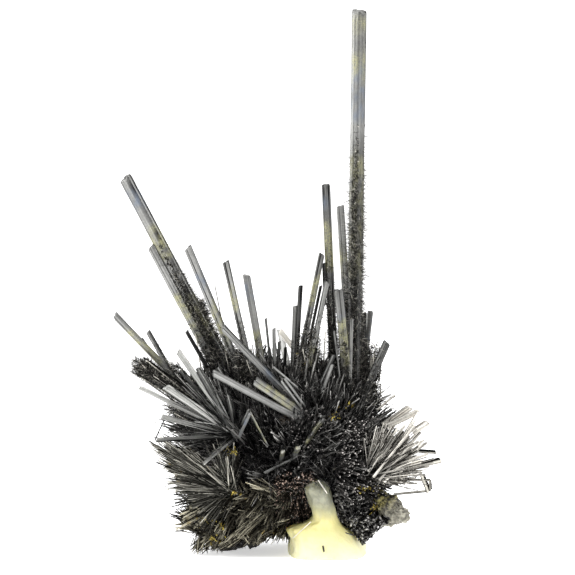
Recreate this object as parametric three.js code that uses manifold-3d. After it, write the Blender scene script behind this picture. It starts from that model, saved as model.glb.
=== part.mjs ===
// Stibnite specimen: free prisms and sprays of needles on a rough mass of matted needles, on mounting putty.
// Millimetres, +Z up, seen from -Y. The origin is the middle of the flat underside of the putty.

import * as THREE from "three";
import { LoftGeometry } from "three/addons/geometries/LoftGeometry.js";
import { mergeVertices } from "three/addons/utils/BufferGeometryUtils.js";
import Module from "manifold-3d";

const wasm = await Module();
wasm.setup();

// Driving dimensions

const GAP = 0.3; // clearance between a piece and the pocket that it sits in
const MASS_CENTRE = [-12, 3, 33]; // middle of the matted mass
const MASS_HALF = [31, 27, 27]; // its half width, half depth and half height
const PUTTY_HEIGHT = 26;
const PUTTY_FOOT = { x: 13.5, y: 21 }; // half width and half depth of the putty where it stands
const PUTTY_NECK = { x: 4.6, y: 5.5 }; // half width and half depth of its neck
const FRONT_STAR = [-29.5, -19.5, 41]; // the point where the needles of the front left spray meet
const LOWER_FAN = [-31.5, -21, 23]; // the point where the ribs of the lower left fan meet
const PALE_SPRAY = [13, -16.5, 27]; // the point where the pale needles at the right meet
const BACK_STAR = [-24, 25, 38]; // the point where the needles of the spray at the back meet
const LEFT_BUNDLE = [-41, -9, 48.5]; // the root of the fuzzy bundle at the left

// Colours

const COLOURS = {
  steel: { color: 0x85898d, roughness: 0.38, metalness: 0.75 },
  olive: { color: 0x8f8d74, roughness: 0.45, metalness: 0.6 },
  matted: { color: 0x25242a, roughness: 0.6, metalness: 0.5 },
  pale: { color: 0xb4b2a8, roughness: 0.5, metalness: 0.4 },
  stone: { color: 0x9a9182, roughness: 0.5, metalness: 0 },
  putty: { color: 0xefedc4, roughness: 0.6, metalness: 0 },
};

const group = new THREE.Group();
group.name = "stibnite_specimen";

// Repeatable random numbers between 0 and 1

function randomNumbers(seed) {
  let state = seed;
  return () => {
    state = (state * 1664525 + 1013904223) % 4294967296;
    return state / 4294967296;
  };
}

// Closed geometry to solid and back

function mergedShape(geometry) {
  const bare = new THREE.BufferGeometry().copy(geometry);
  bare.deleteAttribute("normal");
  bare.deleteAttribute("uv");
  return mergeVertices(bare, 1e-4);
}

function toSolid(geometry) {
  const merged = mergedShape(geometry);
  return new wasm.Manifold(new wasm.Mesh({
    numProp: 3,
    vertProperties: new Float32Array(merged.attributes.position.array),
    triVerts: new Uint32Array(merged.index.array),
  }));
}

function toGeometry(solid) {
  const mesh = solid.getMesh();
  const geometry = new THREE.BufferGeometry();
  geometry.setAttribute("position", new THREE.BufferAttribute(new Float32Array(mesh.vertProperties), 3));
  geometry.setIndex(new THREE.BufferAttribute(new Uint32Array(mesh.triVerts), 1));
  geometry.computeVertexNormals();
  return geometry;
}

// The largest body of a solid: what a cut leaves loose beside it is dropped
function largestBody(solid) {
  return solid.decompose().reduce((best, body) => (body.volume() > best.volume() ? body : best));
}

// Directions: lean is the angle from upright seen from the front, positive to the right, and toward is the
// angle out of that picture, positive towards the viewer. Both are in degrees.

function turnOf({ lean, toward = 0, spin = 0 }) {
  const rad = THREE.MathUtils.degToRad;
  return new THREE.Euler(rad(toward), rad(lean), rad(spin), "YXZ");
}

function directionOf(pose) {
  return new THREE.Vector3(0, 0, 1).applyEuler(turnOf(pose));
}

function placementOf(foot, pose) {
  const turn = new THREE.Quaternion().setFromEuler(turnOf(pose));
  return new THREE.Matrix4().compose(foot, turn, new THREE.Vector3(1, 1, 1));
}

// A stibnite prism stands on the origin along +Z. Its section is a rounded rhomb with ribs along its faces,
// a little uneven from crystal to crystal, and its top is a cut that slants, with a narrow bevel round it.

function prism({ length, width, depth = width * 0.85, ribs = 6, seed = 1, slant = 0.3 }) {
  const random = randomNumbers(seed);
  const corners = 2 * ribs;
  const outline = Array.from({ length: corners }, (_, i) => {
    const angle = (2 * Math.PI * i) / corners;
    const square = (Math.abs(Math.cos(angle)) ** 3 + Math.abs(Math.sin(angle)) ** 3) ** (-1 / 3);
    const groove = i % 2 ? 0.9 - 0.06 * random() : 1;
    const reach = square * groove;
    return new THREE.Vector2((width / 2) * reach * Math.cos(angle), (depth / 2) * reach * Math.sin(angle));
  });
  const bevel = 0.3 * width;
  const stations = [
    { along: 0, scale: 1 },
    { along: length - bevel, scale: 0.97 },
    { along: length, scale: 0.68 },
  ];
  const sections = stations.map(({ along, scale }) => outline.map((point) => {
    const tilt = along > 0.6 * length ? slant * point.x * scale : 0;
    return new THREE.Vector3(point.x * scale, point.y * scale, along + tilt);
  }));
  return new LoftGeometry(sections, { capStart: true, capEnd: true });
}

// A plain needle with flat sides stands on the origin along +Z and narrows to its tip

function needle({ length, width, point = 0.5, sides = 6, grow = 0 }) {
  const reach = length + 2 * grow;
  const foot = width / 2 + grow;
  const tip = (point * width) / 2 + grow;
  return new THREE.CylinderGeometry(tip, foot, reach, sides).rotateX(Math.PI / 2).translate(0, 0, reach / 2 - grow);
}

// Nodes and the pockets that their feet need in the mass

const pockets = [];

function addNode(name, geometry, colour, placement = new THREE.Matrix4()) {
  const mesh = new THREE.Mesh(geometry, new THREE.MeshStandardMaterial(COLOURS[colour]));
  mesh.name = name;
  mesh.applyMatrix4(placement);
  group.add(mesh);
}

// A free crystal is given by the place of its tip, its lean, its length and its width. Crystals that grew
// into each other are one solid: each of the others stands beside the first, by its own tip. The pocket for
// a foot is a plain six-sided hole, wide enough for the whole section and the gap.

function addCrystals(name, colour, members) {
  const footOf = (member) => new THREE.Vector3(...member.tip)
    .addScaledVector(directionOf(member), -member.length);
  const placement = placementOf(footOf(members[0]), members[0]);
  const back = placement.clone().invert();
  const solid = members
    .map((member) => toSolid(prism(member)
      .applyMatrix4(back.clone().multiply(placementOf(footOf(member), member)))))
    .reduce((whole, part) => whole.add(part));
  addNode(name, toGeometry(solid), colour, placement);
  for (const member of members) {
    const across = 1.16 * Math.max(member.width, member.depth ?? 0);
    const hole = needle({ length: member.length, width: across + 2 * GAP, point: 1, grow: GAP });
    pockets.push(toSolid(hole.applyMatrix4(placementOf(footOf(member), member))));
  }
}

// A spray is a set of needles that leave one knot, joined in one solid. Its pocket has a four-sided hole for
// each needle.

function addSpray(name, colour, centre, knot, needles) {
  const origin = new THREE.Vector3();
  const solid = needles
    .map((one) => toSolid(needle(one).applyMatrix4(placementOf(origin, one))))
    .reduce((whole, part) => whole.add(part), toSolid(new THREE.IcosahedronGeometry(knot, 0)));
  const placement = new THREE.Matrix4().makeTranslation(...centre);
  addNode(name, toGeometry(solid), colour, placement);
  pockets.push(toSolid(new THREE.IcosahedronGeometry(knot + 2 * GAP, 0).applyMatrix4(placement)));
  for (const one of needles) {
    const hole = needle({ ...one, width: 1.42 * one.width, sides: 4, grow: GAP });
    pockets.push(toSolid(hole.applyMatrix4(placement.clone().multiply(placementOf(origin, one)))));
  }
}

// Mounting putty: a soft lump pressed flat where it stands, with a neck that rises in front of the mass

function putty(grow) {
  const geometry = new THREE.CylinderGeometry(1, 1, 1, 22, 9).rotateX(Math.PI / 2).translate(0, 0, 0.5);
  const position = geometry.attributes.position;
  for (let i = 0; i < position.count; i += 1) {
    const height = position.getZ(i);
    const angle = Math.atan2(position.getY(i), position.getX(i));
    const radius = Math.hypot(position.getX(i), position.getY(i));
    const shrink = THREE.MathUtils.smoothstep(height, 0.05, 0.6);
    const bulge = 1 + 0.07 * Math.sin(3 * angle + 4 * height) + 0.04 * Math.sin(5 * angle - 7 * height);
    const cap = Math.sqrt(1 - Math.max(0, (height - 0.86) / 0.14) ** 2 * 0.6);
    const halfX = THREE.MathUtils.lerp(PUTTY_FOOT.x, PUTTY_NECK.x, shrink) * bulge * cap + grow;
    const halfY = THREE.MathUtils.lerp(PUTTY_FOOT.y, PUTTY_NECK.y, shrink) * bulge * cap + grow;
    const middleX = -3.2 * shrink;
    const middleY = -15 * shrink;
    position.setXYZ(
      i,
      middleX + radius * halfX * Math.cos(angle),
      middleY + radius * halfY * Math.sin(angle),
      height * PUTTY_HEIGHT + (height > 0.5 ? grow : 0),
    );
  }
  return geometry;
}

// The matted mass: an uneven ball with lumps and pits. Each lump or pit has the direction in which it lies,
// its height over the ball and how narrow it is.

const LUMPS = [
  { toward: [-0.78, -0.3, -0.55], height: 9, narrow: 9 }, // lower left lobe
  { toward: [-0.6, 0.1, -0.8], height: 12, narrow: 14 }, // left foot, which stands on the ground
  { toward: [-0.1, 0.6, -0.8], height: 10, narrow: 14 }, // back foot
  { toward: [0.72, -0.35, -0.6], height: 8, narrow: 12 }, // lower right lobe
  { toward: [-0.75, -0.1, 0.6], height: 8, narrow: 10 }, // left shoulder
  { toward: [0.6, 0, 0.8], height: 8, narrow: 14 }, // ridge around the foot of the tallest crystal
  { toward: [-0.45, -0.1, 0.88], height: 6, narrow: 14 }, // crown at the feet of the crystals that lean left
  { toward: [0.05, -0.8, 0.55], height: 6, narrow: 10 }, // front shoulder under the slanting crystals
  { toward: [0.9, -0.2, 0.1], height: -4, narrow: 8 }, // flatter right side
  { toward: [0.25, -0.8, -0.55], height: -9, narrow: 14 }, // pit in front, where the putty shows
];

function matted() {
  const random = randomNumbers(11);
  const geometry = mergedShape(new THREE.IcosahedronGeometry(1, 4));
  const position = geometry.attributes.position;
  const out = new THREE.Vector3();
  for (let i = 0; i < position.count; i += 1) {
    out.fromBufferAttribute(position, i).normalize();
    const ball = 1 / Math.hypot(out.x / MASS_HALF[0], out.y / MASS_HALF[1], out.z / MASS_HALF[2]);
    const raised = LUMPS.reduce((sum, { toward, height, narrow }) => {
      const facing = out.dot(new THREE.Vector3(...toward).normalize());
      return sum + height * Math.exp(narrow * (facing - 1));
    }, 0);
    const rough = 7 * (random() - 0.5);
    out.multiplyScalar(ball + raised + rough).add(new THREE.Vector3(...MASS_CENTRE));
    position.setXYZ(i, out.x, out.y, Math.max(out.z, 0));
  }
  return geometry;
}

// Crystals

addCrystals("tall_crystal", "steel", [
  { tip: [10.9, 0, 180.7], lean: 0.8, length: 134, width: 4.6, ribs: 8, seed: 2, slant: -0.1 },
]);
addCrystals("long_left_crystals", "steel", [
  { tip: [-66.6, -10, 125.4], lean: -27.6, toward: 7, length: 80, width: 4, ribs: 7, seed: 3, slant: 0.25 },
  { tip: [-58.1, -7.2, 102.6], lean: -27.6, toward: 7, length: 54, width: 2.8, seed: 4, slant: 0.4 },
]);
addCrystals("left_crystal", "steel", [
  { tip: [-45.8, -14, 102.4], lean: -22.4, toward: 9, length: 54, width: 2.5, seed: 5, slant: 0.35 },
]);
addCrystals("middle_left_crystal", "steel", [
  { tip: [-33.2, -18, 98], lean: -12.3, toward: 8, length: 50, width: 2.1, seed: 6, slant: 0.3 },
]);
addCrystals("middle_crystal", "steel", [
  { tip: [-26.7, -3, 93.1], lean: -10, toward: -3, length: 45, width: 2.3, seed: 7, slant: -0.2 },
]);
addCrystals("slanting_crystal", "steel", [
  { tip: [-34.2, -20, 76.5], lean: -43.8, toward: 2, length: 44, width: 2.1, seed: 8, slant: 0.3 },
]);
addCrystals("thin_middle_pair", "steel", [
  { tip: [-8.6, 4, 89.1], lean: 3.3, toward: -6, length: 40, width: 1.5, seed: 9 },
  { tip: [-10.4, 3.2, 82.3], lean: 2.3, toward: -6, length: 33, width: 1.5, seed: 10 },
]);
addCrystals("leaning_right_crystal", "steel", [
  { tip: [-1.6, -6, 100.1], lean: 11.4, toward: 2, length: 50, width: 1.9, seed: 11, slant: -0.5 },
]);
addCrystals("pale_leaning_crystal", "steel", [
  { tip: [0, -15, 91.1], lean: 11.9, toward: 7, length: 42, width: 1.7, seed: 12, slant: -0.3 },
]);
addCrystals("second_tall_crystal", "steel", [
  { tip: [-0.1, 8, 122.9], lean: -2.4, toward: -4, length: 76, width: 2.7, seed: 13, slant: 0.1 },
]);
addCrystals("third_tall_crystal", "steel", [
  { tip: [4.8, 17, 115.4], lean: -3.7, toward: -8, length: 68, width: 2.5, seed: 14, slant: 0.2 },
]);
addCrystals("front_blade", "olive", [
  { tip: [3.9, -10, 88.5], lean: -5.7, toward: 5, length: 38, width: 3, depth: 1.7, seed: 15, slant: 0.1 },
]);
addCrystals("short_right_pair", "steel", [
  { tip: [15.1, 15, 80], lean: 6.5, toward: -8, length: 30, width: 1.8, seed: 16, slant: -0.2 },
  { tip: [13, 15, 79.3], lean: 3.5, toward: -8, length: 29, width: 1.6, seed: 17 },
]);
addCrystals("right_leaning_crystal", "steel", [
  { tip: [20.1, -4, 70.6], lean: 23.7, length: 27, width: 2.5, seed: 18, slant: -0.3 },
]);
addCrystals("far_left_crystal", "steel", [
  { tip: [-70.3, -6, 79.7], lean: -43.3, toward: 4, length: 44, width: 2, depth: 2.4, seed: 19, slant: 0.6 },
]);
addCrystals("far_left_short_crystal", "steel", [
  { tip: [-59.8, 5, 73.6], lean: -29.8, toward: -3, length: 32, width: 1.6, seed: 20 },
]);
addCrystals("front_slanting_crystals", "steel", [
  { tip: [-37.3, -29, 62.3], lean: -60.9, toward: 12, length: 34, width: 2.3, seed: 21, slant: 0.4 },
  { tip: [-24, -26.1, 58.9], lean: -54.5, toward: 12, length: 21, width: 1.7, seed: 22 },
  { tip: [-23.2, -25.7, 59.9], lean: -54.5, toward: 12, length: 20, width: 1.6, seed: 23 },
]);

// Sprays: every needle has its own lean, length and width, as seen from the front

addSpray("front_left_spray", "steel", FRONT_STAR, 2.4, [
  { lean: -34, toward: 14, length: 35, width: 2, point: 0.8 },
  { lean: -30, toward: 6, length: 26, width: 1.5, point: 0.7 },
  { lean: -54, toward: 18, length: 30, width: 2.4, point: 0.85 },
  { lean: -63, toward: 8, length: 36, width: 1.4 },
  { lean: -75, toward: 12, length: 26, width: 1.7 },
  { lean: -92, toward: 14, length: 27, width: 1.4 },
  { lean: -128, toward: 30, length: 16, width: 1.2 },
  { lean: -12, toward: 22, length: 15, width: 1.2, point: 0.2 },
  { lean: 25, toward: 26, length: 11, width: 1.3 },
  { lean: -44, toward: 4, length: 24, width: 1.2, point: 0.2 },
  { lean: -104, toward: -10, length: 19, width: 1.1, point: 0.2 },
]);

const fanRandom = randomNumbers(5);
addSpray("lower_left_fan", "olive", LOWER_FAN, 3.2, Array.from({ length: 14 }, (_, i) => ({
  lean: -148 + 12 * i,
  toward: 2 + 14 * fanRandom(),
  length: 16 + 7 * fanRandom() + (i > 5 && i < 9 ? 5 : 0) - (i > 8 ? 6 : 0),
  width: 1.9 + 0.8 * fanRandom(),
  point: 0.3,
})));

const paleRandom = randomNumbers(8);
addSpray("right_spray", "pale", PALE_SPRAY, 3, Array.from({ length: 14 }, (_, i) => ({
  lean: 22 + 6 * i,
  toward: -4 + 26 * paleRandom(),
  length: 19 + 5 * paleRandom() - (i < 3 ? 2 : 0),
  width: 1.3 + 0.8 * paleRandom(),
  point: i % 3 ? 0.3 : 0.8,
})));

// Fuzzy bundle at the left: parallel needles side by side round a thicker one

const BUNDLE = { lean: -54.5, toward: 4 };
addSpray("left_bundle", "matted", LEFT_BUNDLE, 3, [
  { ...BUNDLE, length: 27, width: 4.6, point: 0.75, sides: 8 },
  { ...BUNDLE, lean: -50, length: 25, width: 3.4, point: 0.6 },
  { ...BUNDLE, lean: -59, length: 26, width: 3.2, point: 0.6 },
  { ...BUNDLE, toward: 12, length: 24, width: 3, point: 0.6 },
]);

// The side that the front view doesn't show: short crystals and one spray that open towards the rear

addCrystals("back_left_crystal", "steel", [
  { tip: [-42, 34, 76], lean: -32, toward: -32, length: 44, width: 2.6, seed: 24, slant: 0.3 },
]);
addCrystals("back_middle_crystal", "steel", [
  { tip: [-15.6, 34, 72.1], lean: -12, toward: -32, length: 32, width: 2, seed: 25, slant: -0.3 },
]);
addCrystals("back_right_crystal", "steel", [
  { tip: [16, 40, 60], lean: 26, toward: -44, length: 38, width: 2.3, seed: 26, slant: 0.3 },
]);
addSpray("back_spray", "steel", BACK_STAR, 2.6, Array.from({ length: 9 }, (_, i) => ({
  lean: -150 + 34 * i,
  toward: -28 - 9 * (i % 3),
  length: 17 + 2.5 * (i % 4),
  width: 1.5 + 0.3 * (i % 3),
  point: 0.5,
})));

addNode("mounting_putty", putty(0), "putty");
pockets.push(toSolid(putty(GAP)));

// Pale lump: a small block of lighter mineral, half sunk in the lower right of the mass

function paleLump(grow) {
  const random = randomNumbers(31);
  const geometry = mergedShape(new THREE.DodecahedronGeometry(1, 1));
  const position = geometry.attributes.position;
  for (let i = 0; i < position.count; i += 1) {
    const rough = 1 + 0.22 * (random() - 0.5);
    position.setXYZ(
      i,
      position.getX(i) * (6.2 * rough + grow),
      position.getY(i) * (5 * rough + grow),
      position.getZ(i) * (5.4 * rough + grow),
    );
  }
  return geometry.rotateY(0.5).translate(21.5, -10, 16);
}

addNode("pale_lump", paleLump(0), "stone");
pockets.push(toSolid(paleLump(GAP)));

// Coarse needles that are fused to the mass open outwards and upwards all round, except where it stands

const FUSED_COUNT = 64;

function fusedNeedles() {
  const random = randomNumbers(17);
  const centre = new THREE.Vector3(...MASS_CENTRE);
  const upright = new THREE.Vector3(0, 0, 1);
  const size = new THREE.Vector3(1, 1, 1);
  return Array.from({ length: FUSED_COUNT }, (_, i) => {
    const height = 1 - (1.5 * (i + 0.5)) / FUSED_COUNT;
    const angle = i * Math.PI * (3 - Math.sqrt(5));
    const ring = Math.sqrt(1 - height * height);
    const out = new THREE.Vector3(ring * Math.cos(angle), ring * Math.sin(angle), height);
    const ball = 1 / Math.hypot(out.x / MASS_HALF[0], out.y / MASS_HALF[1], out.z / MASS_HALF[2]);
    const foot = centre.clone().addScaledVector(out, 0.6 * ball);
    const aim = out.add(new THREE.Vector3(0.7 * random() - 0.35, 0.7 * random() - 0.35, 0.15 + 0.5 * random()));
    const turn = new THREE.Quaternion().setFromUnitVectors(upright, aim.normalize());
    const shape = needle({
      length: 0.4 * ball + 7 + 9 * random(),
      width: 2.8 + 1.4 * random(),
      point: 0.25,
      sides: 5,
    });
    return toSolid(shape.applyMatrix4(new THREE.Matrix4().compose(foot, turn, size)));
  });
}

const grown = fusedNeedles().reduce((whole, part) => whole.add(part), toSolid(matted()));
const seated = pockets.reduce((whole, part) => whole.subtract(part), grown);
addNode("needle_mass", toGeometry(largestBody(seated)), "matted");

export default group;
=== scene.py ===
# %% [markdown]
# # Stibnite specimen
# A cabinet specimen of stibnite: long steel-grey prisms and sprays of needles that stand out of a dark,
# matted body of fine needles, held upright by a lump of mounting putty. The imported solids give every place
# and size. This script gives each piece its real surface: striated prisms, many thousands of needles and
# soft putty, all worked out as arrays.

# %% Load the frame
import math

import bpy
import numpy as np
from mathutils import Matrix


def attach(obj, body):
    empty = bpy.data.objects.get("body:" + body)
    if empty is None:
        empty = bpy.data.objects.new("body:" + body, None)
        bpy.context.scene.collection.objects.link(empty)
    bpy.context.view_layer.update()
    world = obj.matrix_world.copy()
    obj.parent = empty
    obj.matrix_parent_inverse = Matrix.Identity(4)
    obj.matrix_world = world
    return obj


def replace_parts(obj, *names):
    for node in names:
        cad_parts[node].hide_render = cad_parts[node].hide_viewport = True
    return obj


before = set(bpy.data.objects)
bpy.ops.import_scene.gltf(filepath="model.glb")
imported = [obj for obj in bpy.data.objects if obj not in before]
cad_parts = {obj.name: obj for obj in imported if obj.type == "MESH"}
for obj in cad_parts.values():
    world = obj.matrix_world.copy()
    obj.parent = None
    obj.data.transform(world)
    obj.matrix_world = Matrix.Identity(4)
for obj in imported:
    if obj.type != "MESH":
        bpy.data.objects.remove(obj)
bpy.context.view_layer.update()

MM = 0.001


# %% [markdown]
# ## Directions and meshes
# A crystal is easiest to describe as a collector would: how far it leans left or right, and how far it
# comes towards the viewer. Everything else is array work: a mesh is a list of points and a list of
# three-cornered faces, which `foreach_set` hands over in one go, so thousands of needles cost no more
# Python time than one.

# %% Axes of a leaning crystal
def axes_of(lean, toward):
    """Three unit vectors for a crystal. Lean turns about the front-back axis and toward tips the crystal to
    the viewer, so across = (cos lean, 0, -sin lean), along = (sin lean cos toward, -sin toward,
    cos lean cos toward), and through is the cross product of along and across."""
    a = np.radians(lean)
    b = np.radians(toward)
    across = np.array([np.cos(a), 0.0, -np.sin(a)])
    along = np.array([np.sin(a) * np.cos(b), -np.sin(b), np.cos(a) * np.cos(b)])
    return across, np.cross(along, across), along


def unit(vectors):
    """Each row divided by its own length."""
    return vectors / np.linalg.norm(vectors, axis=-1, keepdims=True)


def across_axes(along):
    """Two unit vectors across each direction: its cross product with a fixed axis, and one square to both."""
    fixed = np.where(np.abs(along[:, 2:3]) < 0.9, [[0.0, 0.0, 1.0]], [[1.0, 0.0, 0.0]])
    first = unit(np.cross(fixed, along))
    return first, np.cross(along, first)


def any_ways(count, chance):
    """Unit vectors in random directions."""
    return unit(chance.normal(size=(count, 3)))


def lengths_of(low, high, count, chance):
    """A column of random lengths, between low and high in mm."""
    return chance.uniform(low, high, (count, 1)) * MM


def angles(count):
    """That many angles, evenly round a circle."""
    return 2 * math.pi * np.arange(count) / count


def smoothstep(x, low, high):
    """0 under low, 1 over high, and 3 t squared - 2 t cubed between."""
    t = np.clip((x - low) / (high - low), 0, 1)
    return t * t * (3 - 2 * t)


# %% Put arrays into a mesh
def add_mesh(name, points, faces, material, slot, values=None):
    """One object from points in metres and faces with three corners. Values are numbers that the material
    reads by name, one for each point or face. The object rides on the part's only body."""
    mesh = bpy.data.meshes.new(name)
    mesh.vertices.add(len(points))
    mesh.vertices.foreach_set("co", np.asarray(points, np.float32).ravel())
    mesh.loops.add(faces.size)
    mesh.loops.foreach_set("vertex_index", np.asarray(faces, np.int32).ravel())
    mesh.polygons.add(len(faces))
    mesh.polygons.foreach_set("loop_start", np.arange(0, faces.size, 3, dtype=np.int32))
    mesh.update(calc_edges=True)
    for key, (domain, numbers) in (values or {}).items():
        stored = mesh.attributes.new(key, "FLOAT", domain)
        stored.data.foreach_set("value", np.asarray(numbers, np.float32))
    mesh.materials.append(material)
    piece = bpy.data.objects.new(name, mesh)
    bpy.context.scene.collection.objects.link(piece)
    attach(piece, "root")
    print(f"{name}: {len(faces)} triangles")
    return piece


def ring_faces(rings, corners):
    """Triangles between rings of points that follow each other: each square between two rings is two
    triangles, and the last corner joins the first."""
    row = np.arange(rings - 1)[:, None] * corners
    near = np.arange(corners)[None, :]
    far = (near + 1) % corners
    a = row + near
    b = row + far
    c = b + corners
    d = a + corners
    return np.concatenate([np.stack([a, b, c], -1).reshape(-1, 3), np.stack([a, c, d], -1).reshape(-1, 3)])


def fan_faces(start, corners, centre, flip):
    """Triangles from a ring of points to one centre point."""
    near = start + np.arange(corners)
    far = start + (np.arange(corners) + 1) % corners
    middle = np.full(corners, centre)
    return np.stack([far, near, middle] if flip else [near, far, middle], -1)


def closed_faces(rings, corners):
    """A tube of rings with both ends closed. Its two centre points follow the points of the rings."""
    last = rings * corners
    return np.concatenate([
        ring_faces(rings, corners),
        fan_faces(0, corners, last, True),
        fan_faces(last - corners, corners, last + 1, False),
    ])


def joined(points, faces):
    """One mesh from lists of points and of faces: the faces of each count on from the points before."""
    starts = np.cumsum([0] + [len(part) for part in points[:-1]])
    return np.concatenate(points), np.concatenate([part + start for part, start in zip(faces, starts)])


# %% [markdown]
# ## Shader sums in plain Python
# A material is a formula. Writing it as one keeps it readable: a small class wraps a socket and turns
# `side - height * 0.7` into Math nodes.

# %% A socket that can be calculated with
class Wire:
    """A node's output. Arithmetic on it adds Math nodes."""

    def __init__(self, finish, socket):
        self.finish = finish
        self.socket = socket

    def sum(self, operation, first, second):
        return self.finish.node("ShaderNodeMath", {"operation": operation}, {0: first, 1: second})

    def __add__(self, other):
        return self.sum("ADD", self, other)

    def __sub__(self, other):
        return self.sum("SUBTRACT", self, other)

    def __mul__(self, other):
        return self.sum("MULTIPLY", self, other)

    def above(self, edge, width):
        """0 under edge and 1 over edge + width, with a straight ramp between."""
        return self.finish.node(
            "ShaderNodeMapRange", {"clamp": True}, {0: self, 1: edge, 2: edge + width, 3: 0.0, 4: 1.0}
        )


class Finish:
    """A material, or the world, under construction."""

    def __init__(self, name, kind="materials"):
        self.made = getattr(bpy.data, kind).new(name)
        self.made.use_nodes = True
        self.tree = self.made.node_tree
        self.tree.nodes.clear()

    def node(self, kind, settings=None, sockets=None, out=0):
        """A node of that kind: its settings first, then its sockets, each a value or a Wire."""
        made = self.tree.nodes.new(kind)
        for key, value in (settings or {}).items():
            setattr(made, key, value)
        for key, value in (sockets or {}).items():
            if isinstance(value, Wire):
                self.tree.links.new(value.socket, made.inputs[key])
            else:
                made.inputs[key].default_value = value
        return Wire(self, made.outputs[out]) if len(made.outputs) else None

    def place(self):
        """Object coordinates, which are metres in the frame."""
        return self.node("ShaderNodeTexCoord", out="Object")

    def stored(self, name):
        """A number that the mesh holds for each point."""
        return self.node("ShaderNodeAttribute", {"attribute_name": name}, out="Fac")

    def noise(self, where, scale, detail=3.0, roughness=0.5):
        """Cloudy noise between 0 and 1, with so many bumps to the metre."""
        return self.node(
            "ShaderNodeTexNoise", {},
            {"Vector": where, "Scale": scale, "Detail": detail, "Roughness": roughness},
        )

    def mix(self, mask, first, second):
        """First colour where the mask is 0 and second colour where it is 1."""
        pair = [c if isinstance(c, Wire) else (*c, 1.0) for c in (first, second)]
        return self.node(
            "ShaderNodeMix", {"data_type": "RGBA"}, {0: mask, 6: pair[0], 7: pair[1]}, out=2
        )

    def shade(self, values, height=None, depth=0.0):
        """Principled surface with those sockets. Height, if given, is a bump of that depth in metres."""
        if height is not None:
            values["Normal"] = self.node(
                "ShaderNodeBump", {}, {"Strength": 1.0, "Distance": depth, "Height": height}
            )
        surface = self.node("ShaderNodeBsdfPrincipled", {}, values)
        self.node("ShaderNodeOutputMaterial", {}, {"Surface": surface})
        return self.made


# %% [markdown]
# ## Camera, floor and light
# The picture was taken from a little above, with a long lens, on a white ground that is nearly overexposed.
# The light is soft and comes from all round, so metal reflects white almost everywhere; only the side of
# the camera is darker, and that is what draws the faces of the prisms.

# %% Camera at the photograph's angle
CAMERA_DISTANCE = 1.0
CAMERA_HEIGHT = 0.1385
AIM_HEIGHT = 0.0885
CAMERA_SIDE = -0.013
PIXELS_PER_METRE = 3003.0
PICTURE = 575
SENSOR = 36.0

camera_data = bpy.data.cameras.new("camera")
camera_data.sensor_width = SENSOR
camera_data.lens = PIXELS_PER_METRE * CAMERA_DISTANCE / PICTURE * SENSOR
camera_data.clip_end = 20.0
camera = bpy.data.objects.new("camera", camera_data)
camera.location = (CAMERA_SIDE, -CAMERA_DISTANCE, CAMERA_HEIGHT)
pitch = math.atan2(CAMERA_HEIGHT - AIM_HEIGHT, CAMERA_DISTANCE)
camera.rotation_euler = (math.pi / 2 - pitch, 0.0, 0.0)
bpy.context.scene.collection.objects.link(camera)
bpy.context.scene.camera = camera
print("lens", round(camera_data.lens, 1), "mm, looking down", round(math.degrees(pitch), 2), "degrees")


# %% Floor
def pale_floor():
    """White sweep finish, a touch uneven."""
    finish = Finish("pale_floor")
    cloud = finish.noise(finish.place(), 6.0)
    colour = finish.mix(cloud, (0.93, 0.93, 0.93), (0.96, 0.96, 0.96))
    return finish.shade({
        "Base Color": colour, "Roughness": 0.9,
        "Emission Color": (1.0, 1.0, 1.0, 1.0), "Emission Strength": 0.55,
    })


FLOOR_HALF = 8.0
floor_mesh = bpy.data.meshes.new("floor")
floor_corners = [(-1, -1), (1, -1), (1, 1), (-1, 1)]
floor_mesh.from_pydata([(x * FLOOR_HALF, y * FLOOR_HALF, 0.0) for x, y in floor_corners], [], [(0, 1, 2, 3)])
floor_mesh.materials.append(pale_floor())
floor = bpy.data.objects.new("floor", floor_mesh)
bpy.context.scene.collection.objects.link(floor)

# %% Light
scene = bpy.context.scene
scene.view_settings.view_transform = "Standard"


def studio_world(darkest, brightest):
    """White all round, and darker in front: brightness follows y + z / 2 of the direction. Where nothing is
    in the way the picture stays plain white from every side, as the photograph's ground is."""
    studio = Finish("studio", "worlds")
    way = studio.node("ShaderNodeTexCoord", out="Generated")
    facing = studio.node(
        "ShaderNodeVectorMath", {"operation": "DOT_PRODUCT"}, {0: way, 1: (0.0, 1.0, 0.5)}, out="Value"
    )
    level = studio.node("ShaderNodeMapRange", {}, {0: facing, 1: -0.9, 2: 0.25, 3: darkest, 4: brightest})
    seen = studio.node("ShaderNodeLightPath", out="Is Camera Ray")
    strength = studio.node("ShaderNodeMix", {}, {"Factor": seen, "A": level, "B": brightest})
    light = studio.node("ShaderNodeBackground", {}, {"Color": (1.0, 1.0, 1.0, 1.0), "Strength": strength})
    studio.node("ShaderNodeOutputWorld", {}, {"Surface": light})
    return studio.made


scene.world = studio_world(0.12, 1.35)


def soft_light(name, place, aim, size, power):
    """A square area light that points from its place to its aim."""
    data = bpy.data.lights.new(name, "AREA")
    data.size = size
    data.energy = power
    light = bpy.data.objects.new(name, data)
    light.location = place
    way = np.array(aim, float) - np.array(place, float)
    level = math.hypot(way[0], way[1])
    light.rotation_euler = (math.atan2(level, -way[2]), 0.0, math.atan2(way[1], way[0]) - math.pi / 2)
    scene.collection.objects.link(light)


soft_light("top_light", (0.0, -0.2, 1.2), (0, 0, 0), 1.2, 14.0)
soft_light("left_light", (-0.8, -0.35, 0.45), (0, 0, 0.08), 0.4, 6.0)
soft_light("right_light", (0.8, -0.5, 0.35), (0, 0, 0.06), 0.25, 3.0)
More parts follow.
